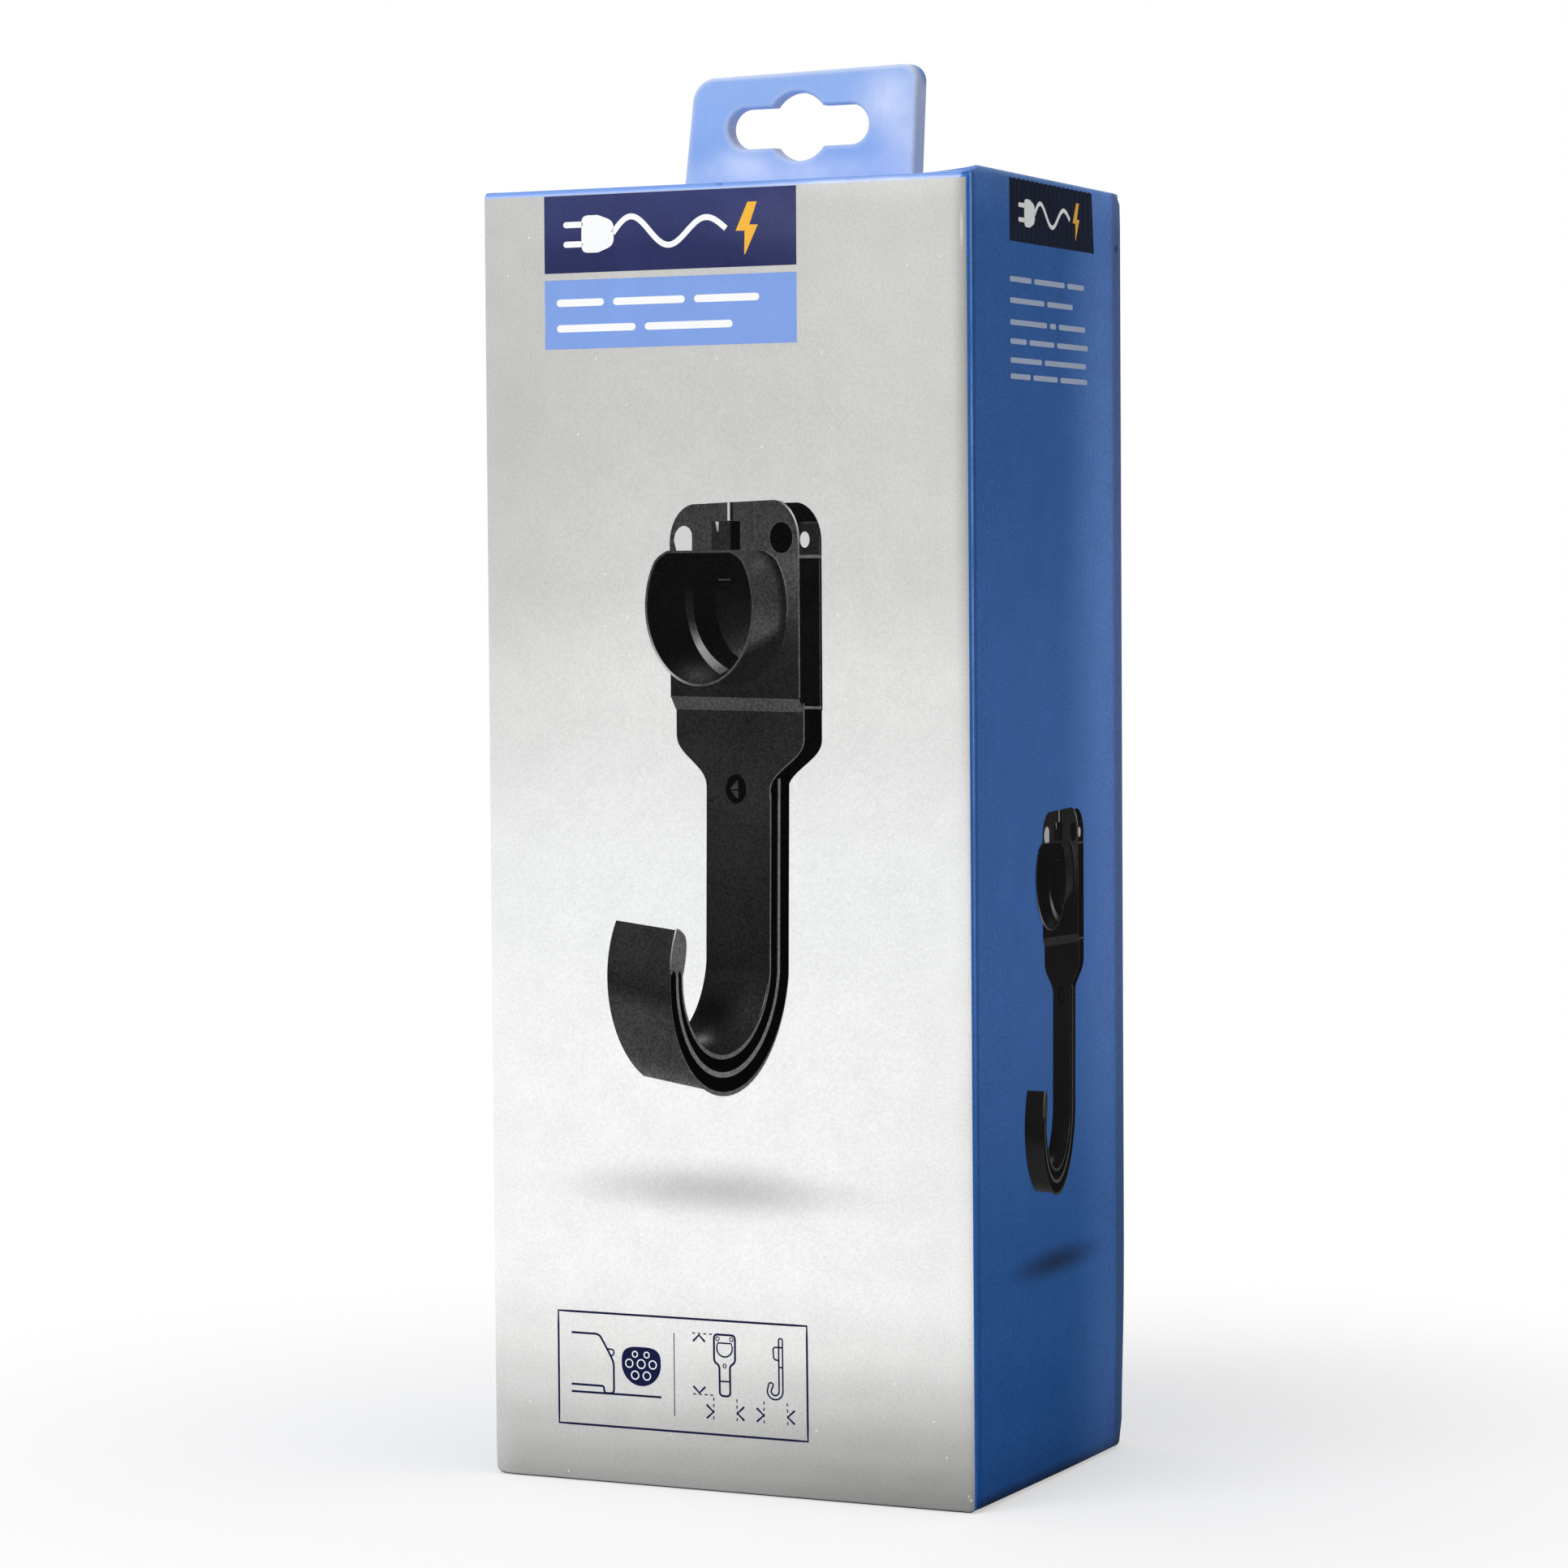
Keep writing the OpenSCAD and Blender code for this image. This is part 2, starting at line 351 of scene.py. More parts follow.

# %% [markdown]
# ## Silver front
# The front is printed as a silver-grey vignette: mid grey at the top, nearly white behind the picture,
# and grey again at the foot. A single ramp over the height gives that. The picture's own soft shadow is
# printed too, so it belongs to this material: a flat, wide spot that darkens the white. Other spots are
# painted shade at the foot, strongest at the right, and along the near fold, where smudges from the
# scoring also show; broad lighter and darker patches over the vignette; a lighter left foot; and wear: a
# rubbed streak and white scuffs by the near fold. A few specks of dust lie on it, one in each cell of a
# Voronoi pattern.

# %% Silver print
panel_top = 280.0
speck_apart_mm = 24.0
speck_r_mm = 0.3
spot_depth = 20
silver_print, tree, shader, place = start_print("offset_silver_print_on_fluted_board")
axes = add(tree, "SeparateXYZ", {0: place}).outputs
silver = height_ramp(tree, axes["Z"], panel_top, [
    (1, "a2a2a1"), (5, "afafae"), (12, "c0c0bf"), (22, "d7d7d6"), (33, "e9e9e8"), (46, "f4f4f4"),
    (90, "f2f2f2"), (130, "ebecec"), (170, "dededd"), (200, "cdcdcb"), (235, "c4c4c2"), (278, "c2c2c0"),
])
spots = [
    # The picture's printed shadow
    ((-3.0, 65.2), (42, 8.5), 0.40, "8d8d8c"),
    ((-3.0, 65.0), (56, 6.0), 0.22, "8d8d8c"),
    # Painted shade at the foot, strongest at the right, and broad lighter and darker patches over the
    # vignette
    ((57.0, 0.0), (100, 42), 0.42, "787876"),
    ((57.0, 0.0), (60, 11), 0.22, "6e6e6c"),
    ((57.0, 70.0), (40, 60), 0.12, "c4c4c4"),
    ((-57.5, 215.0), (45, 110), 0.22, "9c9c9a"),
    ((42.0, 252.0), (44, 72), 0.24, "e0e0de"),
    ((40.0, 279.0), (42, 6), 0.35, "e4e4e2"),
    # Painted shade by the near fold, with scoring smudges near its top; a lighter left foot; scuffs by the
    # fold
    ((57.8, 258.0), (5.0, 150), 0.80, "7c7b76"),
    ((57.8, 100.0), (5.5, 210), 0.15, "8a8a88"),
    ((-57.5, 8.0), (8, 30), 0.45, "d0d0ce"),
    ((55.7, 268.0), (0.45, 6), 0.60, "dededb"),
    ((55.8, 3.6), (0.35, 0.5), 0.60, "f4f4f2"),
    ((56.3, 2.8), (0.35, 0.55), 0.70, "f4f4f2"),
]
for (x, z), (reach_x, reach_z), strength, hex_code in spots:
    reach = (reach_x, spot_depth, reach_z)
    silver = tint_spot(tree, place, silver, hex_code, (x, -half_d, z), reach, strength)
flat = add(tree, "CombineXYZ", {0: axes["X"], 1: axes["Z"]}).outputs[0]
cells = {"Vector": flat, "Scale": 1 / (speck_apart_mm * MM)}
from_speck = add(tree, "TexVoronoi", cells, voronoi_dimensions="2D").outputs["Distance"]
speck = {"Value": from_speck, "From Min": speck_r_mm / speck_apart_mm, "From Max": 0.0}
dust = add(tree, "MapRange", speck).outputs["Result"]
silver = add(tree, "Mix", {0: dust, 6: silver, 7: ink("f4f4f2")}, data_type="RGBA").outputs[2]
paper_ground(tree, shader, place, silver, mottle=0.36, clouds=0.32)
print(f"silver print with {len(spots)} soft spots")

# %% [markdown]
# ## Blue sides
# The sides, the back and the flaps of the base are one flat blue. Painted shade and light lie on it: it is
# a little darker towards the foot, nearly black where the board turns under, and lighter towards the rear
# fold. It is paler along the top fold, and a strip over the rear roll is tinted darker and greyer. Beside
# the near fold a pale line, a painted highlight on the crest where the ink is also rubbed, and a dark line,
# painted shade in the crease groove, run side by side. Each of these could be a texture, but a soft spot
# stretched along the fold does the same with three numbers. The left side mirrors the right one, so most
# spots read the distance from the middle instead of x.

# %% Blue print
above_top = 2.0
blue_print, tree, shader, place = start_print("offset_blue_print_on_fluted_board", 0.5, 0.012)
axes = add(tree, "SeparateXYZ", {0: place}).outputs
# Painted shade with height: near black where the board turns under at the foot, darker low down; the top fold
# is paler
blue = height_ramp(tree, axes["Z"], panel_top + above_top, [
    (0.4, "060d18"), (1.3, "10284c"), (3.2, "1d4e8e"), (14, "225698"), (40, "2c5ea0"), (110, "456fb4"),
    (170, "446fb4"), (225, "3a67ab"), (268, "3865a8"), (279.4, "4a72b6"), (281.2, "7598cf"),
])
side_x = add(tree, "Math", {0: axes["X"]}, operation="ABSOLUTE").outputs[0]
mirrored = add(tree, "CombineXYZ", {0: side_x, 1: axes["Y"], 2: axes["Z"]}).outputs[0]
# Painted light: each side is lighter towards its rear fold, broadly, low down and on the top fold
for z, reach_z, strength in ((200, 230, 0.5), (14, 46, 0.18), (281, 8, 0.3)):
    blue = tint_spot(tree, mirrored, blue, "7ca5f1", (half_w, 33, z), (4, 30, reach_z), strength)
turning = {"Value": axes["Y"], "From Min": 34.9 * MM, "From Max": 38.0 * MM}
rear_turn = add(tree, "MapRange", turning, interpolation_type="SMOOTHSTEP").outputs["Result"]
turned = {"Value": axes["Y"], "From Min": 43.2 * MM, "From Max": 43.5 * MM}
past_turn = add(tree, "MapRange", turned).outputs["Result"]
rear_turn = add(tree, "Math", {0: rear_turn, 1: past_turn}, operation="SUBTRACT").outputs[0]
blue = add(tree, "Mix", {0: rear_turn, 6: blue, 7: ink("e2cec6")},
           data_type="RGBA", blend_type="MULTIPLY").outputs[2]
patch_mm = 12
patchy = add(tree, "TexNoise", {"Vector": place, "Scale": 1 / (patch_mm * MM), "Detail": 4.0}).outputs[0]
all_along = 4000
near_fold = ((56.8, -43.6, 140), (1.6, 1.6, all_along), 1.4)
# A pale line on the near fold's crest: painted highlight, broken up where the ink is also rubbed
crest_highlight_and_rub = ((57.4, -42.55, 230), (0.45, 0.45, 190), 1.5, patchy)
# A dark line in the crease groove beside the near fold: painted shade
valley_shade = ((57.4, -41.2, 140), (1.5, 0.8, all_along), 0.6)
rear_scuff = ((57.2, 39.1, 268.5), (3, 1.7, 1.5))
picture_shadow = ((half_w, 0.5, 47.4), (40, 33, 4.8), 0.8)
for where, hex_code, spot in ((mirrored, "2f66b5", near_fold), (mirrored, "8fb2ea", crest_highlight_and_rub),
                              (mirrored, "1d4480", valley_shade), (place, "1a2a4a", rear_scuff),
                              (place, "16243f", picture_shadow)):
    blue = tint_spot(tree, where, blue, hex_code, *spot)
paper_ground(tree, shader, place, blue, mottle=0.85, stripes=0.03, clouds=0.22)
print("blue print, rubbed along its folds")

# %% [markdown]
# ## Light blue flaps and tab
# The flaps that carry the tab are a lighter tint of the blue, and along the right edge the side's own blue
# is printed over the fold. The tab is glued up from four layers, so its face is slightly uneven. Paler
# patches on it and along the front rim are painted sheen, where the light would catch it. Its cut edge is
# grey-blue board. A second material could cover the edge, but the change from face to cut is soft, so an
# attribute of the mesh, which is 1 on the cut and fades on the face, mixes the two. In the hole only the
# walls that face right take the full grey-blue; the others keep more of the face's blue, as painted light
# and shade.

# %% Light blue print
light_blue_print, tree, shader, place = start_print("light_blue_print_with_cut_edge", 0.45)
axes = add(tree, "SeparateXYZ", {0: place}).outputs
rim_blue = height_ramp(tree, axes["Z"], panel_top, [
    (278.6, "a8c0f2"), (279.0, "98b6ee"), (279.4, "7ca2e2"), (279.75, "5e8ed8"),
])
front_rim = {"Value": axes["Y"], "From Min": -42.2 * MM, "From Max": -42.6 * MM}
at_rim = add(tree, "MapRange", front_rim, interpolation_type="SMOOTHSTEP").outputs["Result"]
tint = add(tree, "Mix", {0: at_rim, 6: ink("95b5eb"), 7: rim_blue}, data_type="RGBA").outputs[2]
streak_mm = 9
streaky = {"Vector": place, "Scale": 1 / (streak_mm * MM), "Detail": 3.0, "Roughness": 0.55}
streaks = add(tree, "TexNoise", streaky).outputs[0]
# Painted sheen: paler patches where the tab's uneven face and the front rim would catch the light
painted_sheen_spots = [
    ((23, -6.6, 299.5), (13, 5, 10), 1.3),
    ((28, -6.2, 290), (11, 5, 16), 1.2),
    ((-13, -6.2, 286.5), (13, 5, 6.5), 1.6),
    ((-26, -6.2, 283), (10, 5, 8), 0.8),
    ((2, -6.2, 284), (36, 5, 6), 1.0),
    ((34, -43.2, 278.8), (36, 2.5, 1.0), 1.5),
]
for centre_mm, radii_mm, strength in painted_sheen_spots:
    tint = tint_spot(tree, place, tint, "d6e0fb", centre_mm, radii_mm, strength, streaks)
right_edge = {"Value": axes["X"], "From Min": 55.0 * MM, "From Max": 56.0 * MM}
at_side = add(tree, "MapRange", right_edge, interpolation_type="SMOOTHSTEP").outputs["Result"]
beside = {"Value": axes["X"], "From Min": 36 * MM, "From Max": 38 * MM}
at_bulge = add(tree, "MapRange", beside).outputs["Result"]
above = {"Value": axes["Z"], "From Min": 280.03 * MM, "From Max": 280.09 * MM}
raised = add(tree, "MapRange", above).outputs["Result"]
raised = add(tree, "Math", {0: at_bulge, 1: raised}, operation="MULTIPLY").outputs[0]
at_side = add(tree, "Math", {0: at_side, 1: raised}, operation="MAXIMUM").outputs[0]
cut = add(tree, "Attribute", attribute_name="tone").outputs["Fac"]
for share, hex_code in ((at_side, "4474c4"), (cut, "c8d0e6")):
    tint = add(tree, "Mix", {0: share, 6: tint, 7: ink(hex_code)}, data_type="RGBA").outputs[2]
tint = tint_spot(tree, place, tint, "5580cc", (29.2, -2.6, 305.4), (6, 4, 4.6))
paper_ground(tree, shader, place, tint, mottle=0.15, stripes=0.01, clouds=0.6)
print(f"light blue print with {len(painted_sheen_spots)} pale patches")

# %% [markdown]
# ## Inks
# Solid colours are printed over the ground: navy, pale, amber and charcoal. An ink film is far thinner
# than paper, so it takes the paper's mottle and bump, and only its colour and shine are its own. The
# charcoal picture has many tones, so its ink reads a tone from the mesh. Its dark tones are grainy, as a
# halftone is, and its light ones aren't.

# %% Flat inks and the picture's ink
def flat_ink(name, hex_code, mottle, shine=0.12, stripes=0.004):
    """An ink of one colour on the paper's ground."""
    material, tree, shader, place = start_print(name, 0.55, shine)
    paper_ground(tree, shader, place, ink(hex_code)[:3], mottle, stripes)
    return material


# Painted shade: the side's navy heading is written darker than the front's navy, as a shaded copy of it
shaded_navy_ink = flat_ink("navy_ink_with_painted_shade", "161d30", 0.6, 0.012, 0.4)
sky_ink = flat_ink("sky_blue_offset_ink", "7f9fe0", 0.12)
pale_ink = flat_ink("pale_offset_ink", "f3f4f6", 0.04)
# Painted shade: the side's words are the front's pale ink written grey, as a shaded copy
shaded_pale_ink = flat_ink("pale_ink_with_painted_shade", "a9b6cf", 0.12)
amber_ink = flat_ink("amber_offset_ink", "f0b440", 0.1)
line_ink = flat_ink("navy_line_ink", "161b40", 0.2, 0.03)

navy_ink, tree, shader, place = start_print("navy_offset_ink", 0.55, 0.06)
height = add(tree, "SeparateXYZ", {0: place}).outputs["Z"]
navy = height_ramp(tree, height, panel_top, [
    (258, "262c55"), (266, "2c325d"), (272, "343a66"), (279, "383e6b"),
])
navy = tint_spot(tree, place, navy, "50547a", (18, -half_d, 271), (26, spot_depth, 11), 0.4)
paper_ground(tree, shader, place, navy, mottle=0.5)

charcoal_ink, tree, shader, place = start_print("charcoal_halftone_ink", 0.6, 0.012)
tone = add(tree, "Attribute", attribute_name="tone").outputs["Fac"]
grey = add(tree, "CombineColor", {0: tone, 1: tone, 2: tone}).outputs[0]
grainy = paper_ground(tree, shader, place, grey, mottle=2.3, stripes=0.0, clouds=0.3)
light = add(tree, "MapRange", {"Value": tone, "From Min": 0.06, "From Max": 0.3}).outputs["Result"]
halftone = add(tree, "Mix", {0: light, 6: grainy, 7: grey}, data_type="RGBA").outputs[2]
tree.links.new(halftone, shader.inputs["Base Color"])
print("materials:", ", ".join(material.name for material in bpy.data.materials if material.users))

# %% [markdown]
# ## The folded sleeve
# Four panels wrap round the box. Each could be a flat plate, but the folds between them are what makes it
# look like board: tight at the front, and soft rolls at the back. So the whole sleeve is one surface, an
# upright profile carried along the plan outline. The profile rolls over at the top and at the foot, where
# the flaps turn in. Side panels stand one board thickness higher than the front and back ones.

# %% Plan outline of the sleeve
board = 0.9
front_fold_r = 1.5
rear_roll_l = 7.0
rear_roll_in = 1.0
roll_steps = 9
wall_steps = 56
left_print_deg = 75
right_print_top_deg, right_print_foot_deg = 26, 45
seam_strip = 1.5
front_top = panel_top - board
columns = 2 * (roll_steps + 1) + wall_steps - 1
climb = np.linspace(0, 1, columns)[None]

Stretch = namedtuple("Stretch", "points outward side_share")


def straight(start, end, samples, outward, side_share):
    """Points spaced evenly from start to end, the same at every height, all facing one way."""
    share = np.linspace(0, 1, samples)[:, None, None]
    points = np.broadcast_to(np.array(start) + share * np.subtract(end, start), (samples, columns, 2))
    return Stretch(points, np.broadcast_to(np.array(outward, float), points.shape),
                   np.full((samples, columns), float(side_share)))


def bend(centre, half_axes, angle_deg):
    """Part of an ellipse: centre plus half-axes times cosine and sine. Panels beside it share its height."""
    angle = np.radians(np.broadcast_to(angle_deg, (len(angle_deg), columns)))
    outward = np.dstack([np.cos(angle), np.sin(angle)])
    share = np.abs(np.cos(angle)) ** 2
    return Stretch(np.array(centre) + outward * half_axes, outward, share)


fold_x = half_w - front_fold_r
fold_y = front_fold_r - half_d
roll_x = half_w - rear_roll_in
roll_y = half_d - rear_roll_l
fold_axes = (front_fold_r, front_fold_r)
roll_axes = (rear_roll_in, rear_roll_l)
print_edge_deg = right_print_foot_deg + (right_print_top_deg - right_print_foot_deg) * climb
silver_part = np.linspace(0, 1, 6)[:, None] * print_edge_deg - 90
blue_part = np.linspace(0, 1, 10)[:, None] * (90 - print_edge_deg) + print_edge_deg - 90
quarter = np.linspace(0, 90, 25)[:, None]
silver_stretches = [
    bend((-fold_x, fold_y), fold_axes, 270 - np.linspace(left_print_deg, 0, 11)[:, None]),
    straight((-fold_x, -half_d), (fold_x, -half_d), 90, (0, -1), 0),
    bend((fold_x, fold_y), fold_axes, silver_part),
]
blue_stretches = [
    bend((fold_x, fold_y), fold_axes, blue_part),
    straight((half_w, fold_y), (half_w, roll_y), 110, (1, 0), 1),
    bend((roll_x, roll_y), roll_axes, quarter),
    straight((roll_x, half_d), (seam_strip - roll_x, half_d), 60, (0, 1), 0),
    straight((seam_strip - roll_x, half_d), (-roll_x, half_d), 16, (0, 1), 0),
    bend((-roll_x, roll_y), roll_axes, quarter + 90),
    straight((-half_w, roll_y), (-half_w, fold_y), 110, (-1, 0), 1),
    bend((-fold_x, fold_y), fold_axes, np.linspace(180, 270 - left_print_deg, 4)[:, None]),
]


def join(stretches, part):
    """One part of several stretches end to end; the point that two of them share is kept once."""
    arrays = [getattr(stretch, part) for stretch in stretches]
    return np.concatenate([array[:-1] for array in arrays[:-1]] + arrays[-1:])


print(f"plan outline: {len(join(silver_stretches + blue_stretches, 'points'))} points")

# %% [markdown]
# ## Panels are never quite flat
# A filled carton swells a little, and each crease leaves a shallow groove beside its fold. Both are tiny,
# but they bend the light. They are kept as two formulas, one for the front and back and one for the sides,
# because the inks printed on a panel have to follow the same relief.

# %% Relief of the panels, and bumped corners
swell_mm = 0.3
mid_y = (fold_y + roll_y) / 2
half_side = (roll_y - fold_y) / 2


def swell(across, z):
    """1 in the middle of a panel and 0 on its folds: one minus the square across, and a parabola up it."""
    share = np.clip(z / panel_top, 0, 1)
    return np.clip(1 - across * across, 0, 1) * 4 * share * (1 - share)


def groove(distance, width):
    """A bell-shaped dip: e to the minus square of distance over width."""
    return np.exp(-(distance / width) ** 2)


def front_relief(x, z):
    """Outward relief of the front and back panels, with a crease groove inside each fold."""
    return swell_mm * swell(x / fold_x, z) - 0.10 * groove(np.abs(x) - fold_x + 0.9, 0.35)


def side_relief(y, z):
    """Outward relief of the side panels, with a deeper groove behind each tight front fold."""
    from_fold = y - fold_y
    return (swell_mm * swell((y - mid_y) / half_side, z)
            - 0.20 * groove(from_fold - 0.9, 0.5) - 0.05 * groove(from_fold - 4.0, 1.2))


def glue_seam(x):
    """Depth of the glued seam on the back panel, beside the left rear fold."""
    return 0.5 * groove(x + roll_x - 0.25, 0.2)


def ridge(x, y):
    """Height by which a side panel's top fold bulges: it rises over 4 mm behind the front fold, then falls
    evenly. The left one bulges less."""
    share = np.clip((y - fold_y) / 4, 0, 1)
    along = np.clip((y - fold_y) / (roll_y - fold_y), 0, 1)
    return np.where(x > 0, 1.0, 0.15) * (1.42 - 0.6 * along) * share * share * (3 - 2 * share)


def crush(y):
    """Depth by which the top flaps' front rim is pressed down."""
    return 0.25 * groove(y + half_d, 2.0)


Bump = namedtuple("Bump", "corner depth reach lift", defaults=(1.0,))
bumped_corners = [
    Bump((-half_w, -half_d, 0), 0.45, 2.0, 3.0),
    Bump((57.0, 42.8, panel_top), 0.25, 2.0),
    Bump((57.0, 42.8, 0), 0.7, 2.8, 0.2),
    Bump((57.2, 43.2, 4), 0.75, 22, 0.0),
    Bump((-57.0, 42.8, panel_top), 0.6, 2.0),
    Bump((-57.0, 42.8, 0), 0.8, 2.4),
    Bump((half_w, -half_d, 0), 0.4, 1.3),
]
middle = np.array([0, 0, panel_top / 2])


def blunt(points):
    """Moves points near each bumped corner inwards, and by lift up or down, by a bell of the distance."""
    moved = points.copy()
    for bump in bumped_corners:
        inward = np.sign(middle - bump.corner) * (1, 1, bump.lift)
        inward = inward / np.linalg.norm(inward)
        away = np.linalg.norm(points - bump.corner, axis=-1, keepdims=True)
        moved += bump.depth * groove(away, bump.reach) * inward
    return moved


print(f"panels swell by {swell_mm} mm, and {len(bumped_corners)} places at the corners are bumped")

# %% [markdown]
# ## Carry the profile along the outline
# The profile has three parts: a quarter roll at the foot, the wall, and a quarter roll at the top. Rows
# follow the outline and columns climb the profile, so every quad faces outwards. The grid is then cut into
# the pieces that are printed differently: a silver front, a blue wrap, and rolls that belong to flaps.

# %% Build the sleeve
flap_fold_r = 0.9
side_low = 0.45
silver_from_deg, silver_to_deg = 40, 20
liner = 0.8

roll_angle = np.radians(np.linspace(0, 90, roll_steps + 1))
roll_inset = flap_fold_r * (1 - np.cos(roll_angle))
roll_rise = flap_fold_r * np.sin(roll_angle)
wall_share = np.linspace(0, 1, wall_steps + 1)[1:-1]
inset = np.concatenate([roll_inset[::-1], np.zeros(len(wall_share)), roll_inset])


def carry_profile(stretches):
    """Outline plus outward times (relief minus inset), at heights from the foot roll to the top roll."""
    outline, outward, side_share = (join(stretches, part) for part in Stretch._fields)
    top_x, top_y = outline[:, -1:, 0], outline[:, -1:, 1]
    wall_low = side_low * side_share[:, :1] + flap_fold_r
    wall_high = front_top + (board + ridge(top_x, top_y) - crush(top_y)) * side_share[:, -1:] - flap_fold_r
    z = np.hstack([
        wall_low - roll_rise[::-1],
        wall_low + wall_share * (wall_high - wall_low),
        wall_high + roll_rise,
    ])
    facing_front = np.abs(outward[..., 1]) > 0.9999
    facing_side = np.abs(outward[..., 0]) > 0.9999
    relief = facing_front * front_relief(outline[..., 0], z) + facing_side * side_relief(outline[..., 1], z)
    relief = relief - facing_front * (outward[..., 1] > 0) * glue_seam(outline[..., 0])
    return blunt(np.dstack([outline + outward * (relief - inset)[..., None], z]))


front = carry_profile(silver_stretches)
wrap = carry_profile(blue_stretches)
silver_low = roll_steps - round(roll_steps * silver_from_deg / 90)
silver_high = columns - 1 - roll_steps + round(roll_steps * silver_to_deg / 90)
make_piece("front_panel", [Patch(front[:, silver_low:silver_high + 1])], silver_print, liner)
make_piece("blue_wrap", [Patch(wrap)], blue_print, liner)

# %% [markdown]
# ## Flaps on the top and the base
# On top the side flaps lie over the front and back ones, meet along the middle, and are slit where the tab
# stands up through them. On the base the front and back flaps are outermost. Each flap is a flat sheet
# from a roll to its cut edge. It tucks a hair under the end of the roll, so that no crack shows.

# %% Flat sheets for the flaps
flap_gap = 0.8
flap_inset = 0.7
tuck = 0.25
hair = 0.02
tab_t = 4.5
tab_half_w = 27.9
tab_forward = 3.4
slit_gap = 0.9
flap_liner = 0.6
bulge_from = 38
front_seam = 0.04
slit_x = tab_half_w + slit_gap
slit_y = np.array([-1, 1]) * (tab_t / 2 + slit_gap) - tab_forward
flap_y = half_d - flap_fold_r + tuck
flap_x = half_w - flap_fold_r + tuck


def flat_sheet(x_from, x_to, y, z, samples=24):
    """A level sheet between two edges, x_from and x_to, given at each y. It faces up."""
    share = np.linspace(0, 1, samples)[:, None]
    x = x_from + share * (np.asarray(x_to) - x_from)
    grid_y = np.broadcast_to(y, x.shape)
    return np.dstack([x, grid_y, np.full(x.shape, z)])


def side_edge(y):
    """Where a side flap leaves its panel's roll: straight, then along the soft rear roll."""
    rear = np.clip((y - roll_y) / (rear_roll_l - flap_fold_r + tuck), 0, 1)
    return roll_x + max(rear_roll_in - flap_fold_r + tuck, 0) * np.sqrt(1 - rear * rear)


flap_z = panel_top - hair
seam_x = flap_gap / 2
flap_end = half_d - flap_inset
runs = [
    (-flap_end, slit_y[0], np.linspace(front_seam, seam_x, 30)),
    (*slit_y, slit_x),
    (slit_y[1], flap_end, seam_x),
]
for name, sign in (("top_flap_right", 1), ("top_flap_left", -1)):
    sheets = []
    for y_from, y_to, x_from in runs:
        y = np.linspace(y_from, y_to, 30)
        sheet = flat_sheet(x_from, side_edge(y), y, flap_z)
        outer_share = np.clip((sheet[..., 0] - bulge_from) / (flap_x - bulge_from), 0, 1)
        bulge = ridge(sign * sheet[..., 0], sheet[..., 1]) * outer_share ** 2
        sheet[..., 2] += bulge - crush(sheet[..., 1])
        sheets.append(Patch(blunt((sheet * (sign, 1, 1))[::sign])))
    make_piece(name, sheets, light_blue_print, board - hair)

tab_fold_r = 0.6
root_y = tab_t / 2 + tab_fold_r
cove = np.radians(np.linspace(0, 90, 9))
cove_y = root_y - tab_fold_r * np.sin(cove)
cove_z = front_top + tab_fold_r * (1 - np.cos(cove))
cove_x = np.linspace(-tab_half_w, tab_half_w, 40)[:, None]
for name, sign in (("front_top_flap", -1), ("back_top_flap", 1)):
    y = np.sort(np.linspace(sign * root_y - tab_forward, sign * flap_y, 30))
    edge = np.minimum(fold_x, side_edge(y) - tuck)
    sheets = [blunt(flat_sheet(-edge, edge, y, front_top - hair, 60))]
    rise = np.dstack(np.broadcast_arrays(cove_x, sign * cove_y - tab_forward, cove_z))
    sheets.append(rise if sign < 0 else rise[::-1])
    if sign < 0:
        sheets.append(front[:, silver_high:])
    make_piece(name, [Patch(sheet) for sheet in sheets], light_blue_print, flap_liner)

for name, sign in (("front_base_flap", -1), ("back_base_flap", 1)):
    y = np.sort(sign * np.linspace(flap_gap / 2, flap_y, 30))
    edge = np.minimum(half_w - flap_inset - front_fold_r, side_edge(y) - tuck)
    sheets = [blunt(flat_sheet(-edge, edge, y, hair, 40))[::-1]]
    if sign < 0:
        sheets.append(front[:, :silver_low + 1])
    make_piece(name, [Patch(sheet) for sheet in sheets], blue_print, flap_liner)

y = np.linspace(-flap_y, flap_y, 40)
inner_base = blunt(flat_sheet(-side_edge(y), side_edge(y), y, board + hair, 60))[::-1]
make_piece("inner_base_flaps", [Patch(inner_base)], blue_print, flap_liner)

# %% [markdown]
# ## The hang tab
# Two layers of the front flap and two of the back flap turn up and are glued together, and the hook's slot
# is punched through all four. It could be cut from a plate with a Boolean, but then its edges would be hard.
# Seen from the hole's centre, both the outer outline and the hole's outline are met once in each direction.
# So the tab is a ring: rows go round by angle, and columns go round the section between the two outlines,
# with rounded edges and a shallow groove at each glue line. The ring closes on itself both ways.

# %% Outlines of the tab
tab_h = 27.4
taper_left_deg = 7.8
flare_right_deg = 3.4
top_climb_deg = 1.0
tab_left_r = 5.7
tab_right_r = 3.8
tab_lean = math.radians(2)
tab_root = 0.45
hole_rise = 15.5
hole_shift = 0.7
slot_w = 33.7
slot_h = 8.8
hole_d = 14.9


def arc(centre, half_axes, start_deg, end_deg, samples=24):
    """Points on an ellipse from one angle to another. One number as half-axes makes it a circle."""
    angle = np.radians(np.linspace(start_deg, end_deg, samples))
    return np.array(centre) + np.column_stack([np.cos(angle), np.sin(angle)]) * half_axes


def dense(points, step, closed=True):
    """A path with more points put evenly into each stretch that is longer than step."""
    points = np.asarray(points, float)
    ends = np.roll(points, -1, axis=0) if closed else points[1:]
    parts = []
    for start, end in zip(points, ends):
        pieces = max(1, math.ceil(np.linalg.norm(end - start) / step))
        parts.append(start + np.arange(pieces)[:, None] / pieces * (end - start))
    return np.vstack(parts if closed else parts + [points[-1:]])


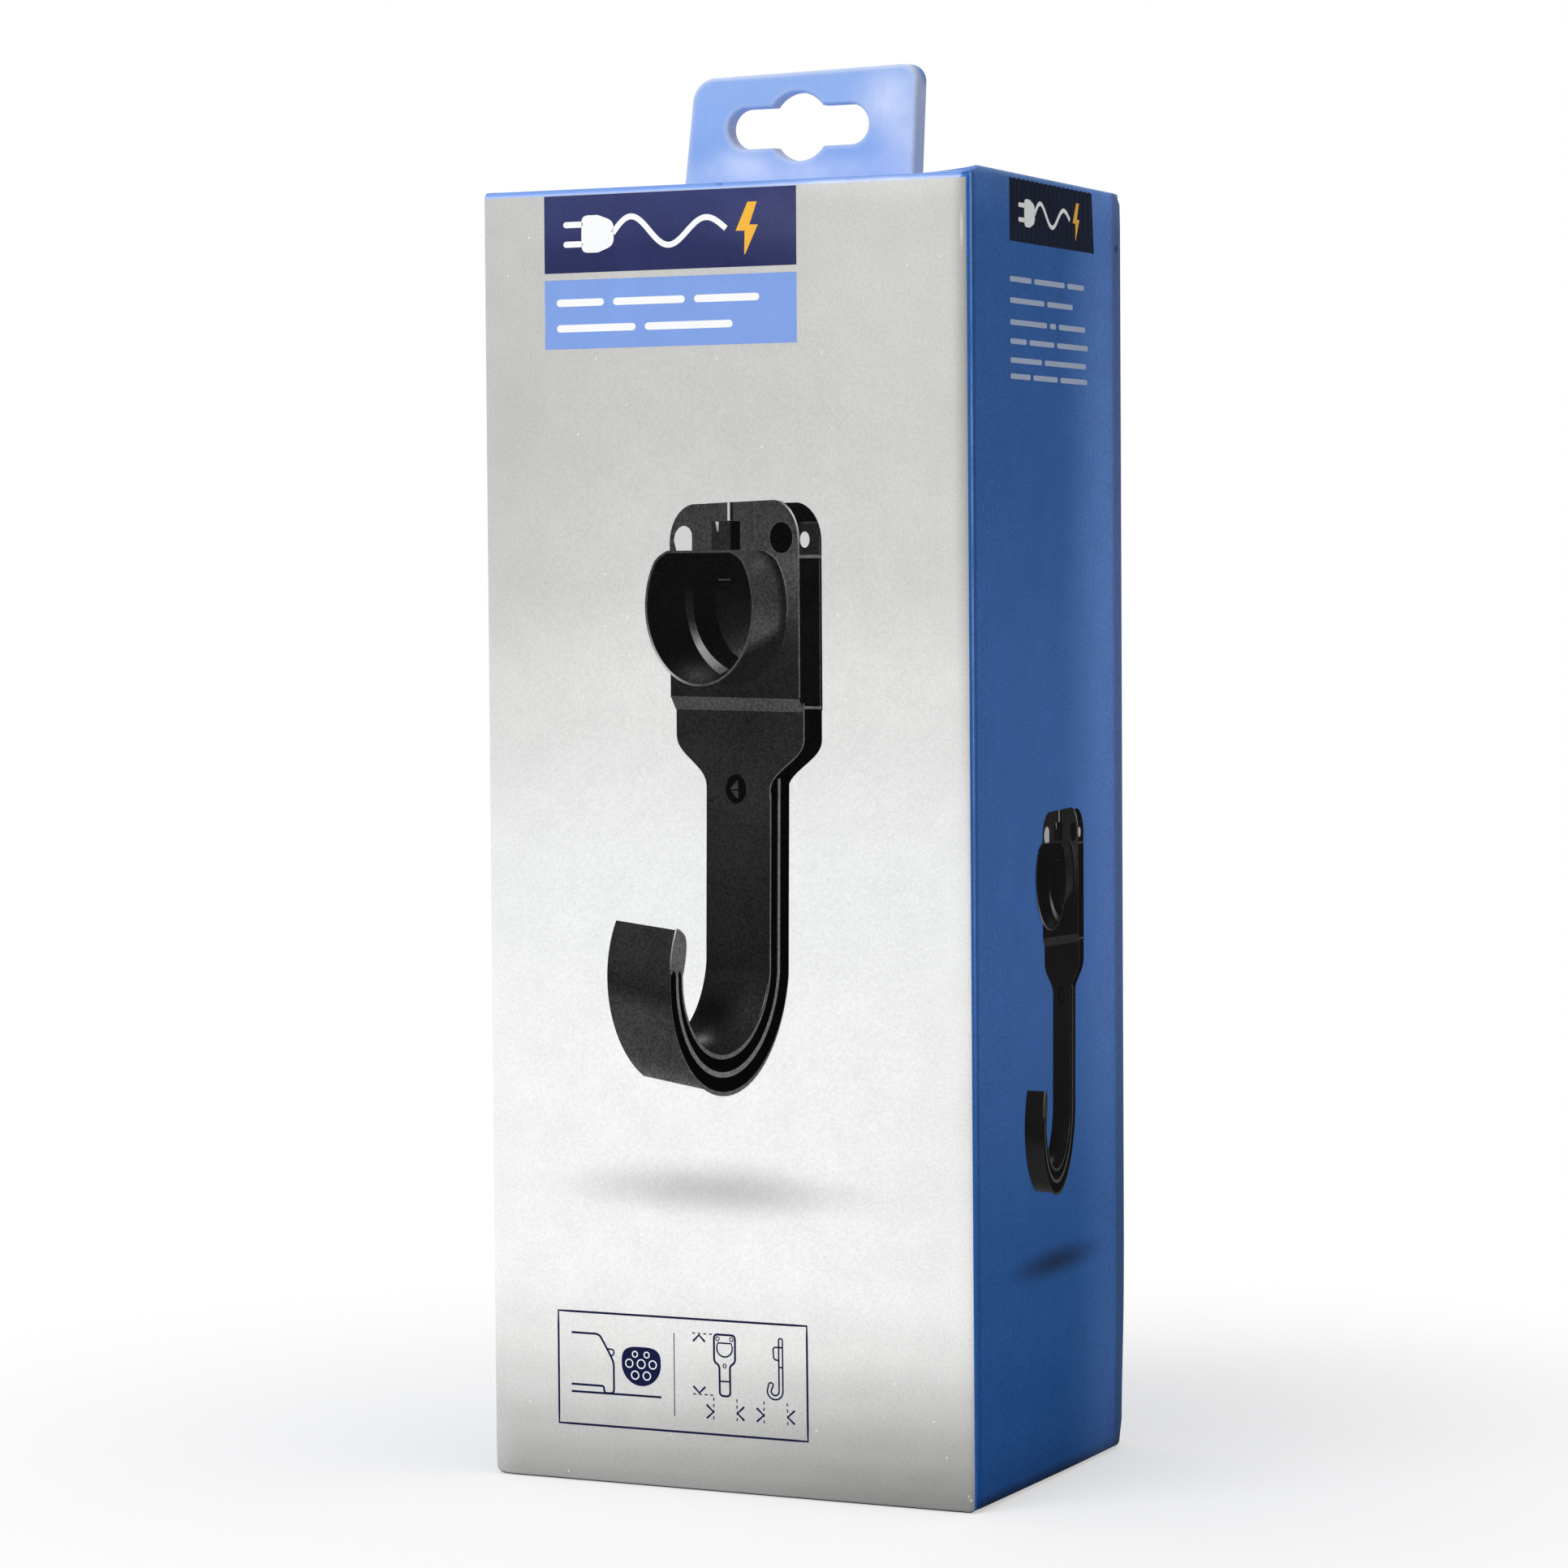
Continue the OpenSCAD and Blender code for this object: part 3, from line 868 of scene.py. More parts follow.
def corner_centre(lean_deg, climb_deg, corner_r):
    """Centre of the left upper corner: one corner radius in from the side edge and from the top edge."""
    lean, climb = math.radians(lean_deg), math.radians(climb_deg)
    from_side = corner_r - tab_half_w * math.cos(lean)
    from_top = corner_r - tab_h * math.cos(climb)
    across = from_side * math.cos(climb) - from_top * math.sin(lean)
    rise = from_side * math.sin(climb) - from_top * math.cos(lean)
    return np.array([across, rise]) / math.cos(lean + climb)


left_corner = corner_centre(taper_left_deg, top_climb_deg, tab_left_r)
right_corner = corner_centre(-flare_right_deg, -top_climb_deg, tab_right_r) * (-1, 1)
left_root = -tab_half_w - tab_root * math.tan(math.radians(taper_left_deg))
right_root = tab_half_w - tab_root * math.tan(math.radians(flare_right_deg))
rim = dense(np.vstack([
    [(left_root, -tab_root), (right_root, -tab_root)],
    arc(right_corner, tab_right_r, -flare_right_deg, 90 + top_climb_deg),
    arc(left_corner, tab_left_r, 90 + top_climb_deg, 180 - taper_left_deg),
]), 0.5)
slot_r = slot_h / 2
slot_c = slot_w / 2 - slot_r


def hole_reach(angle):
    """Distance from the hole's centre to its edge: the larger of the round middle's and the slot's.
    The slot's is that of its straight edges, or of the circles at its ends beyond them."""
    side = np.abs(np.cos(angle))
    rise = np.maximum(np.abs(np.sin(angle)), 1e-6)
    to_edge = slot_r / rise
    to_end = slot_c * side + np.sqrt(np.maximum(slot_r ** 2 - (slot_c * rise) ** 2, 0))
    return np.maximum(hole_d / 2, np.where(to_edge * side <= slot_c, to_edge, to_end))


centre = np.array([hole_shift, hole_rise])
away = rim - centre
angles = np.arctan2(away[:, 1], away[:, 0])
hole = centre + np.column_stack([np.cos(angles), np.sin(angles)]) * hole_reach(angles)[:, None]


def into_board(points, turned, smooth=9):
    """Unit normals of a closed outline, a quarter turn from its direction, averaged over a few points."""
    along = np.roll(points, -1, axis=0) - np.roll(points, 1, axis=0)
    along = along / np.linalg.norm(along, axis=1, keepdims=True)
    normal = turned * np.column_stack([-along[:, 1], along[:, 0]])
    mean = sum(np.roll(normal, shift, axis=0) for shift in range(-(smooth // 2), smooth // 2 + 1))
    return mean / np.linalg.norm(mean, axis=1, keepdims=True)


rim_in = into_board(rim, 1)
hole_in = into_board(hole, -1)
print(f"tab outlines: {len(rim)} directions")

# %% Section of the tab, carried round
edge_r = 0.8
rear_layers_out = 0.7
glue_groove = 0.10
glue_width = 0.12
cut_fade = 1.1
edge_angle = np.radians(np.linspace(0, 90, 6))
flat_y = np.linspace(-(tab_t / 2 - edge_r), tab_t / 2 - edge_r, 31)[1:-1]
glue_lines = np.array([-1, 0, 1]) * tab_t / 4
edge_in = sum(glue_groove * groove(flat_y - line, glue_width) for line in glue_lines)

round_in = edge_r * (1 - np.sin(edge_angle))
round_y = -tab_t / 2 + edge_r * (1 - np.cos(edge_angle))
edge_inset = np.concatenate([round_in, edge_in, round_in[::-1]])
edge_y = np.concatenate([round_y, flat_y, -round_y[::-1]])
layer_step = rear_layers_out * np.clip(edge_y / tab_t + 0.5, 0, 1) * np.clip(-rim_in[:, :1], 0, 1)
outer_edge = rim[:, None] + rim_in[:, None] * (edge_inset - layer_step)[..., None]
hole_edge = (hole[:, None] + hole_in[:, None] * edge_inset[:, None])[:, ::-1]
face_from, face_to = hole_edge[:, -1], outer_edge[:, 0]
face_gap = np.linalg.norm(face_to - face_from, axis=1)[:, None]
near_edge = np.minimum(np.array([0.25, 0.5, 0.8, 1.2]) / face_gap, [0.08, 0.17, 0.26, 0.35])
far_in = np.broadcast_to(np.linspace(0.4, 0.6, 3), (len(rim), 3))
face_share = np.hstack([near_edge, far_in, 1 - near_edge[:, ::-1]])
face = face_from[:, None] + face_share[..., None] * (face_to - face_from)[:, None]
section = np.concatenate([outer_edge, face[:, ::-1], hole_edge, face], axis=1)
face_y = np.full(face_share.shape[1], tab_t / 2)
depth = np.concatenate([edge_y, face_y, edge_y[::-1], -face_y])

to_edge = np.minimum(face_share, 1 - face_share) * face_gap
on_edge = np.broadcast_to(np.clip(0.45 + (edge_y + tab_t / 2) / edge_r, 0, 1), (len(rim), len(edge_y)))
cut_face = 0.3 * np.clip(1 - to_edge / cut_fade, 0, 1) ** 2
# Painted light and shade: the hole's walls take the full cut colour only where they face right
hole_cut = on_edge[:, ::-1] * (0.35 + 0.65 * np.clip(-hole_in[:, :1], 0, 1))
cut_share = np.hstack([on_edge, cut_face[:, ::-1], hole_cut, cut_face])

across, rise = section[:, :, 0], section[:, :, 1]
curl = 0.22 * np.sin(across * math.pi / 52 + 0.6) * (np.clip(rise, 0, None) / tab_h) ** 2
local_y = depth + curl
tab_y = local_y * math.cos(tab_lean) - rise * math.sin(tab_lean) - tab_forward
tab_z = front_top + rise * math.cos(tab_lean) + local_y * math.sin(tab_lean)
tab = np.dstack([across, tab_y, tab_z])
make_piece("hang_tab", [Patch(tab, True, True, cut_share)], light_blue_print)

# %% [markdown]
# ## Drawing with ink
# Everything printed in a solid ink is a thin film on a panel. Each film is drawn in the panel's own flat
# coordinates, across and up, from a few kinds of shape: a stroke of even width along a path, and an area
# between a left and a right edge. Then it is laid on the panel, where it follows the relief.

# %% Shapes for ink
def swing(start, pull, end, samples=24):
    """A quadratic curve from start to end, pulled towards one point."""
    share = np.linspace(0, 1, samples)[:, None]
    towards = 2 * share * (1 - share) * np.array(pull)
    return (1 - share) ** 2 * np.array(start) + towards + share ** 2 * np.array(end)


def rounded(points, radius, closed=False, samples=7):
    """A path whose corners are replaced by quadratic curves that start and end at radius from each corner."""
    points = np.asarray(points, float)
    before = np.roll(points, 1, axis=0) - points
    after = np.roll(points, -1, axis=0) - points
    path = []
    for i, corner in enumerate(points):
        if not closed and i in (0, len(points) - 1):
            path.append(corner[None])
            continue
        start = corner + before[i] * min(radius / np.linalg.norm(before[i]), 0.5)
        end = corner + after[i] * min(radius / np.linalg.norm(after[i]), 0.5)
        path.append(swing(start, corner, end, samples))
    return np.vstack(path)


def stroke(path, width, closed=False, tone=0.0):
    """A band: each path point moved half the width to both sides, along its normal. Width and tone may run
    along the path, one value for each point."""
    path = np.asarray(path, float)
    if np.ndim(tone) == 0 and np.ndim(width) == 0:
        path = dense(path, 3.0, closed)
    along = np.roll(path, -1, axis=0) - np.roll(path, 1, axis=0)
    if not closed:
        along[0] = path[1] - path[0]
        along[-1] = path[-1] - path[-2]
    along = along / np.linalg.norm(along, axis=1, keepdims=True)
    normal = np.column_stack([-along[:, 1], along[:, 0]]) * np.reshape(width, (-1, 1)) / 2
    band = np.stack([path + normal, path - normal], axis=1)
    tones = np.broadcast_to(np.asarray(tone, float).reshape(-1, 1), band.shape[:2])
    return Patch(band, closed, False, tones)


def area(left, right, columns=2, tone=0.0):
    """An area between a left and a right edge with as many points each, straight across between them."""
    share = np.linspace(0, 1, columns)[None, :, None]
    left = np.asarray(left, float)[:, None]
    right = np.asarray(right, float)[:, None]
    points = left + share * (right - left)
    return Patch(points, False, False, np.broadcast_to(tone, points.shape[:2]))


def oval(centre, half_axes, tone=0.0, samples=25, columns=2):
    """A filled ellipse, as an area between its left and right halves."""
    side = arc((0, 0), half_axes, -88, 88, samples)
    return area(centre + side * (-1, 1), centre + side, columns, tone)


def ring(centre, half_axes, width, tone=0.0, samples=40):
    """An even band round an ellipse."""
    return stroke(arc(centre, half_axes, 0, 360, samples + 1)[:-1], width, True, tone)


def bar(left, right, middle, height):
    """A rounded bar, as an area between two half-round ends."""
    end = arc((0, 0), height / 2, -88, 88, 9)
    return area((left + height / 2, middle) + end * (-1, 1), (right - height / 2, middle) + end, 6)


def block(left, right, low_edge, high_edge, columns=12, rows=12, tone=0.0):
    """A plain rectangle."""
    left_edge = np.linspace((left, low_edge), (left, high_edge), rows)
    right_edge = np.linspace((right, low_edge), (right, high_edge), rows)
    return area(left_edge, right_edge, columns, tone)


print("points round a rounded square:", len(rounded([(0, 0), (1, 0), (1, 1), (0, 1)], 0.2, closed=True)))

# %% Laying ink on a panel
film = 0.03
layer = 0.02


def on_front(across, up, lift):
    """Front panel: across is x, up is z, and lift is the distance in front of the panel's relief."""
    return np.dstack([across, -half_d - front_relief(across, up) - lift, up])


def on_right_side(across, up, lift):
    """Right side panel: across is y, up is z, and lift is the distance outside the panel's relief."""
    return np.dstack([half_w + side_relief(across, up) + lift, across, up])


def lay(patches, panel, level=1, scale=1.0, shift=(0, 0)):
    """Scales and shifts flat patches, turns each to face outwards, and lays it on a panel at a film level."""
    laid = []
    for patch in patches:
        points = patch.points * scale + shift
        tone = patch.tone
        one_way = points[1:, :-1] - points[:-1, :-1]
        other_way = points[:-1, 1:] - points[:-1, :-1]
        facing = (one_way[..., 0] * other_way[..., 1] - one_way[..., 1] * other_way[..., 0]).sum()
        if facing < 0:
            points = points[:, ::-1]
            tone = np.broadcast_to(tone, points.shape[:2])[:, ::-1]
        lifted = panel(points[..., 0], points[..., 1], film + layer * (level - 1))
        laid.append(patch._replace(points=lifted, tone=tone))
    return laid


print(f"ink films stand {film} mm off the board, and each further layer {layer} mm more")

# %% [markdown]
# ## Colour blocks and plain marks
# At the top of the front stand a navy block and a sky-blue block. The navy one holds a plain picture of a
# plug whose cord runs to a small bolt, and the blue one holds plain rounded bars, as in a dummy layout. The
# right side repeats them smaller. Each mark could be drawn twice, but here it is drawn once round a middle
# point, and then scaled and shifted to its block.

# %% Heading blocks
heading = dict(left=-42.2, right=17.9)
navy_block = block(**heading, low_edge=261.8, high_edge=278.4)
sky_block = block(**heading, low_edge=245.5, high_edge=260.3)


def plug_and_cord():
    """Plug with two pins, a cord that runs off in a decaying wave, all centred on a block's middle."""
    body = area(rounded([(-17, -4), (-21, -4), (-21, 4), (-17, 4)], 1.6),
                rounded([(-17, -4), (-13.2, -2.6), (-13.2, 2.6), (-17, 4)], 1.6), 4)
    pins = [bar(-25.4, -20.6, up, 1.3) for up in (-2.1, 2.1)]
    run = np.linspace(0, 1, 70)
    wave = 3.6 * np.sin(run * 3 * math.pi) * (1 - 0.35 * run)
    cord = stroke(np.column_stack([-13.4 + 27 * run, wave]), 1.25)
    return [body, *pins, cord]


def bolt():
    """A plain zigzag bolt: two slanted bars, one above the other, with points at top and foot."""
    from_middle = (18.5, 0)
    left = np.array([(-0.6, -5.6), (-0.5, -0.65), (-2.6, -0.6), (0.2, 5.4)])
    right = np.array([(-0.4, -5.6), (2.6, 0.55), (0.6, 0.6), (2.4, 5.4)])
    return [area(left + from_middle, right + from_middle, 4)]


navy_middle = ((heading["left"] + heading["right"]) / 2, 270.0)
front_bar_h, side_bar_h = 1.6, 1.15
front_rows = [
    (255.4, [(-39.3, -27.8), (-25.6, -8.4), (-6.2, 9.2)]),
    (249.9, [(-39.3, -20.2), (-18.0, 2.9)]),
]
front_bars = [bar(left, right, up, front_bar_h) for up, row in front_rows for left, right in row]
make_piece("navy_heading", lay([navy_block], on_front), navy_ink, film)
make_piece("sky_heading", lay([sky_block], on_front), sky_ink, film)
front_marks = lay(plug_and_cord(), on_front, 2, 1.0, navy_middle) + lay(front_bars, on_front, 2)
make_piece("front_marks", front_marks, pale_ink, film)
make_piece("front_bolt", lay(bolt(), on_front, 2, 1.0, navy_middle), amber_ink, film)

# %% Heading of the right side
side_left = np.linspace((-22.2, 266.7), (-22.2, 280.0), 12)
side_right = np.linspace((25.5, 266.6), (24.3, 279.7), 12)
side_block = area(side_left, side_right, 120)
wave_mm = 0.12
top_edge = side_block.points[-1]
top_edge[:, 1] += wave_mm * np.sin(2 * math.pi * top_edge[:, 0] / flute_pitch_mm)
side_middle = (1.4, 273.0)
side_scale = 0.74
side_rows = [
    (258.7, [(-22.3, -10.5), (-8.9, 8.2), (9.8, 19.4)]),
    (254.2, [(-22.3, -3.4), (-1.8, 12.8)]),
    (249.6, [(-22.3, -2.0), (-0.4, 3.1), (4.7, 20.0)]),
    (245.6, [(-22.3, -13.4), (-11.8, 2.1), (3.7, 21.6)]),
    (241.6, [(-22.3, -5.0), (-3.4, 20.4)]),
    (238.2, [(-22.3, -11.4), (-9.8, 3.8), (5.4, 21.0)]),
]
side_bars = [bar(left, right, up, side_bar_h) for up, row in side_rows for left, right in row]
make_piece("side_heading", lay([side_block], on_right_side), shaded_navy_ink, film)
make_piece("side_words", lay(side_bars, on_right_side, 2), shaded_pale_ink, film)
side_plug = lay(plug_and_cord(), on_right_side, 2, side_scale, side_middle)
make_piece("side_plug", side_plug, pale_ink, film)
make_piece("side_bolt", lay(bolt(), on_right_side, 2, side_scale, side_middle), amber_ink, film)

# %% [markdown]
# ## The picture of a holder
# The carton shows what such a pack holds: a moulded wall holder with a round socket over a J-shaped hook.
# A traced outline would need many points. Drawn as its maker would extrude it, it takes a few formulas: the
# hook is a J profile pushed along one slanting direction, the plate has a bottle shape, and the socket is a
# flattened oval with a barrel. Each surface gets a tone from the way it turns, which reads as light.

# %% Parts of the picture
push = np.array([-15.15, 2.0])
bend_up = 112.5
stem_lean = 0.011
socket_x, socket_up = -5.45, 190
socket_half_w, socket_half_h = 12.7, 16.8


def grey_tone(level):
    """Linear tone of an sRGB grey from 0 to 255."""
    return linear(np.asarray(level, float) / 255)


def hook_bend(centre_x, half_width, depth, start_deg, end_deg, samples=60):
    """Part of an ellipse about the bend's height; below that height it is skewed a little to the left."""
    angle = np.radians(np.linspace(start_deg, end_deg, samples))
    rise = depth * np.sin(angle)
    across = centre_x + half_width * np.cos(angle) + 0.075 * np.minimum(rise, 0)
    return np.column_stack([across, bend_up + rise])


def j_line(centre_x, half_width, depth, from_up):
    """A J: down from a height with a slight lean, then round half the bend."""
    bend = hook_bend(centre_x, half_width, depth, 0, -178)
    return np.vstack([[(bend[0, 0] + stem_lean * (from_up - bend_up), from_up)], bend])


def bottle(shift, low_up=bend_up):
    """Left and right edges of the lower plate: each half-width eases from stem to plate over 12 mm."""
    up = np.concatenate([[low_up], np.linspace(149, 164, 22), [169.5]])
    share = np.clip((up - np.array([[151.2], [150.3]])) / 12, 0, 1)
    share = share ** 3 * (10 - 15 * share + 6 * share * share)
    left_half, right_half = 7.5 + 7.55 * share
    middle = 3.5 + 0.5 * share[0] + stem_lean * (np.minimum(up, 150) - 150) + shift
    return np.column_stack([middle - left_half, up]), np.column_stack([middle + right_half, up])


def upper_plate(left_x, right_x, left_top, right_top, low_up=170.6):
    """Left and right edges of the upper plate: straight, then quarter ellipses at the top corners."""
    angle = np.radians(np.concatenate([np.zeros(9), np.linspace(0, 84, 14)]))
    inset = 6.2 * (1 - np.cos(angle))
    drop = 8.3 * (1 - np.sin(angle))
    left = np.column_stack([left_x + inset, left_top - drop])
    right = np.column_stack([right_x - inset, right_top - drop])
    left[:9, 1] = right[:9, 1] = np.linspace(low_up, left_top - 9, 9)
    return left, right


def socket_edge(shift=0.0):
    """Left and right edges of the socket: an ellipse with its top cut level."""
    angle = np.radians(np.concatenate([np.linspace(-88, 30, 32), np.linspace(33, 44, 6)]))
    half = socket_half_w * np.cos(angle)
    half[-6:] -= np.linspace(0, 1, 6) ** 2 * 1.6
    up = socket_up + socket_half_h * np.sin(angle)
    middle = socket_x + shift
    return np.column_stack([middle - half, up]), np.column_stack([middle + half, up])


print(f"socket outline: {2 * len(socket_edge()[0])} points; plate outline: {2 * len(bottle(0)[0])} points")

# %% The picture's hook
def hook_patches():
    """The J hook: inner face, black side between three light lines, outer face and tip."""
    inner_face = hook_bend(0.3, 10.45, 18.7, 0, -94, 40)
    turn = np.linspace(0, 94, 40)[:, None]
    across = np.linspace(0, 1, 12)[None]
    shade = 31 - 18 * groove(turn - 34, 14) * groove(across - 0.25, 0.4)
    bright = 80 * groove(turn - 62, 8) * groove(across - 0.35, 0.13)
    glints = bright + 14 * groove(turn - 30, 14) * groove(across - 0.8, 0.3)
    inner = j_line(0.3, 10.45, 18.7, 150.5)
    middle = j_line(0.72, 12.0, 22.5, 153.5)
    outer = j_line(1.05, 14.0, 26.6, 156)
    low = np.concatenate([[0], np.sin(np.radians(np.linspace(0, 178, 60))) ** 3])
    near = hook_bend(1.05, 14.0, 26.6, 162, 257, 48)
    near[:, 0] += 0.6 * np.clip((near[:, 1] - bend_up) / 8.2, 0, 1) ** 2
    far = arc((-13.57, 110.06), (14.79, 23.07), 147.5, 245.6, 48)
    face_tone = np.interp(np.linspace(0, 1, 48), [0, 0.25, 0.34, 0.46, 0.8, 1], [46, 42, 33, 57, 63, 92])
    tip_up = np.linspace(111.1, 121.0, 18)
    share = (tip_up - 111.1) / 9.9
    tip_front = np.column_stack([-13.05 + 1.55 * share ** 2, tip_up])
    bulge = -10.02 + 0.85 * np.sin(share * math.pi / 1.3) - 1.6 * np.clip((share - 0.7) / 0.3, 0, 1) ** 3
    tip_rear = np.column_stack([bulge, tip_up])
    glint = swing((10.05, 109.8), (9.6, 106.4), (8.0, 102.8))
    glint_w = 0.04 + 0.2 * groove(np.linspace(-2, 2, len(glint)), 1)
    back = [area(inner_face + push, inner_face, 12, grey_tone(shade + glints))]
    side = [area(inner, outer, tone=grey_tone(5))]
    lines = [
        area(far, near, 6, grey_tone(face_tone)[:, None]),
        stroke(inner, 0.3 + 0.65 * low, tone=grey_tone(92)),
        stroke(middle, 0.6 + 0.55 * low, tone=grey_tone(104)),
        stroke(outer[1:], 0.1 + 0.8 * low[1:], tone=grey_tone(84)),
    ]
    tip = [
        area(tip_front, tip_rear, 3, grey_tone(88)),
        stroke(tip_front[2:], 0.32, tone=grey_tone(np.linspace(110, 215, 16))),
        stroke(glint, glint_w, tone=grey_tone(120)),
    ]
    return back, side, lines, tip


print("patches of the hook:", sum(len(part) for part in hook_patches()))

# %% The picture's socket
def socket_patches():
    """The round socket: barrel, black inside, a ledge and a lighter far wall in it, and the rim."""
    rim_left, rim_right = socket_edge()
    far_left, far_right = socket_edge(8.1)
    share = np.linspace(0, 1, 33)[None]
    reach = (far_right - far_left)[:, :1]
    x = far_left[:, :1] + share * reach
    z = far_left[:, 1:] + 0 * x
    from_end = (1 - share) * reach
    lit = np.clip((z - 181.4 - 0.54 * (x - 6.9)) / 2.5 + 0.5, 0, 1)
    lit = lit * np.clip((from_end - 0.9) / 1.4, 0, 1)
    shine = 16 * groove(z - 185, 4) + 16 * groove(z - 198.6, 1.2) * groove(x - 8.5, 1.6)
    barrel_tone = 27 + lit * (27 + shine)
    x = rim_left[:, :1] + share * (rim_right - rim_left)[:, :1]
    z = rim_left[:, 1:] + 0 * x
    inside_tone = 13 + 46 * groove(x + 6.0, 5) * groove(z - 175.2, 2.6)
    rim_path = np.vstack([rim_right, rim_left[::-1]])
    rim_turn = np.linspace(0, 1, len(rim_path))
    rim_tone = 64 + 120 * groove(rim_turn - 0.86, 0.1) + 16 * groove(rim_turn - 0.1, 0.1)
    wall_up = np.linspace(195, 179.2, 24)
    wall_half = socket_half_w * np.sqrt(1 - ((wall_up - socket_up) / socket_half_h) ** 2)
    wall_edge = np.column_stack([wall_half - 5.6, wall_up])
    wall_tone = np.interp(np.linspace(0, 1, 24), [0, 0.5, 0.8, 1], [14, 26, 42, 68])
    ledge_tone = np.interp(np.linspace(0, 1, 24), [0, 0.3, 0.6, 0.85, 1], [16, 34, 150, 124, 70])
    edge_tone = np.interp(np.linspace(0, 1, 18), [0, 0.6, 0.85, 1], [72, 118, 112, 84])
    barrel = [
        area(far_left, far_right, 33, grey_tone(barrel_tone)),
        stroke(far_right[20:], 0.34, tone=grey_tone(edge_tone)),
    ]
    inside = [area(rim_left, rim_right, 33, grey_tone(inside_tone))]
    wall_start = swing((-1.9, 195), (-1.6, 182.5), (3.8, 179.2))
    ledge_left = swing((-8.8, 194), (-9.0, 181), (-0.6, 175.5))
    ledge_right = swing((-6.7, 194), (-7.9, 181.5), (1.6, 176.6))
    details = [
        area(wall_start, wall_edge, 6, grey_tone(wall_tone)[:, None]),
        area(ledge_left, ledge_right, 4, grey_tone(ledge_tone)[:, None]),
        stroke([(-0.8, 195.7), (2.0, 195.7)], 0.3, tone=grey_tone(66)),
    ]
    rim = [stroke(rim_path, 0.5, True, grey_tone(rim_tone))]
    return barrel, inside, details, rim


print("patches of the socket:", sum(len(part) for part in socket_patches()))

# %% The picture, from back to front
def picture_layers():
    """The picture's patches, from the back layer to the front one."""
    hook_back, hook_side, hook_lines, hook_tip = hook_patches()
    barrel, inside, details, rim = socket_patches()
    rear_left, rear_right = bottle(4.15)
    back_left, back_right = upper_plate(-7.0, 23.35, 211.6, 211.9, 168.0)
    plate_left, plate_right = upper_plate(-12.4, 18.05, 211.8, 212.5)
    low_left, low_right = bottle(0)
    stem_tone = np.interp(low_left[:, 1], [112, 125, 150, 160, 169], [27, 34, 42, 39, 36])[:, None]
    plate_tone = np.interp(plate_left[:, 1], [170, 177, 184, 196, 204, 212], [31, 32, 40, 62, 60, 56])
    plate_tone = plate_tone[:, None]
    plate_x = plate_left[:, :1] + np.linspace(0, 1, 12) * (plate_right - plate_left)[:, :1]
    plate_tone = plate_tone + 18 * groove(plate_x - 16, 4) * groove(plate_left[:, 1:] - 197, 7)
    edge_tone = np.interp(plate_right[:, 1], [170, 202, 205, 210, 212], [76, 88, 140, 200, 100])
    level_1 = [
        area(rear_left, rear_right, tone=grey_tone(8)),
        area(back_left, back_right, tone=grey_tone(13)),
        *hook_back,
    ]
    level_2 = [
        *hook_side,
        area(plate_left, plate_right, 12, grey_tone(plate_tone)),
        area([(18.1, 200.5), (18.1, 204.5), (18.1, 207.6)],
             [(23.3, 200.5), (23.3, 204.5), (22.4, 207.6)], tone=grey_tone(32)),
        stroke([(22.9, 168.6), (22.9, 204.5)], 0.25, tone=grey_tone(58)),
    ]
    small_blocks = [
        (1.4, 2.0, 208.2, 212.1, 190), (2.05, 2.7, 208.2, 212.1, 26), (-2.4, 2.0, 202.0, 208.1, 38),
        (2.05, 4.35, 202.0, 208.1, 9), (18.2, 23.3, 200.1, 200.8, 92), (18.8, 23.3, 168.3, 168.9, 96),
    ]
    level_3 = [
        area(low_left, low_right, 8, grey_tone(stem_tone)),
        *hook_lines,
        oval((14.0, 204.5), (2.85, 3.5), grey_tone(80)),
        *[block(*edges, 2, 2, grey_tone(level)) for *edges, level in small_blocks],
        stroke([(18.7, 207.6), (22.4, 207.6)], 0.25, tone=grey_tone(62)),
        stroke([(7.8, 202.0), (7.9, 212.2)], 0.2, tone=grey_tone(72)),
        oval((19.5, 204.0), (1.1, 1.7), grey_tone(205)),
    ]
    level_4 = [
        *barrel,
        area([(-12.4, 170.9), (-11.2, 168.1)], [(18.0, 170.4), (19.0, 167.6)], 8, grey_tone(70)),
        stroke(plate_right[:-2], 0.4, tone=grey_tone(edge_tone[:-2])),
        stroke(low_right[1:], 0.3, tone=grey_tone(90)),
        *hook_tip,
        oval((14.0, 204.5), (2.65, 3.3), grey_tone(10)),
        area([(-10.7, 201.5), (-11.35, 204.2), (-11.0, 205.7), (-10.1, 206.8), (-9.2, 207.2)],
             [(-7.1, 201.5), (-7.05, 204.2), (-7.1, 205.7), (-7.6, 206.6), (-8.4, 207.1)], 3, grey_tone(206)),
        area([(-0.95, 205.9), (-1.5, 208.0)], [(-0.8, 205.9), (-0.65, 208.0)], tone=grey_tone(170)),
        oval((3.0, 151.2), (2.4, 3.1), grey_tone(10)),
    ]
    slot_ends = [
        oval(centre, half_axes, grey_tone(5))
        for centre, half_axes in (((-12.2, 111.0), (0.42, 0.9)), ((-10.8, 111.0), (0.36, 0.8)))
    ]
    screw_left = [(3.15, 149.25), (1.9, 150.75), (1.65, 151.3), (3.2, 153.0)]
    screw_right = [(3.5, 149.2), (3.5, 150.75), (3.5, 151.3), (3.4, 153.1)]
    level_5 = [*inside, *slot_ends, area(screw_left, screw_right, tone=grey_tone(56))]
    level_6 = [*details, stroke([(1.5, 151.0), (3.6, 151.0)], 0.3, tone=grey_tone(12))]
    return [level_1, level_2, level_3, level_4, level_5, level_6, rim]


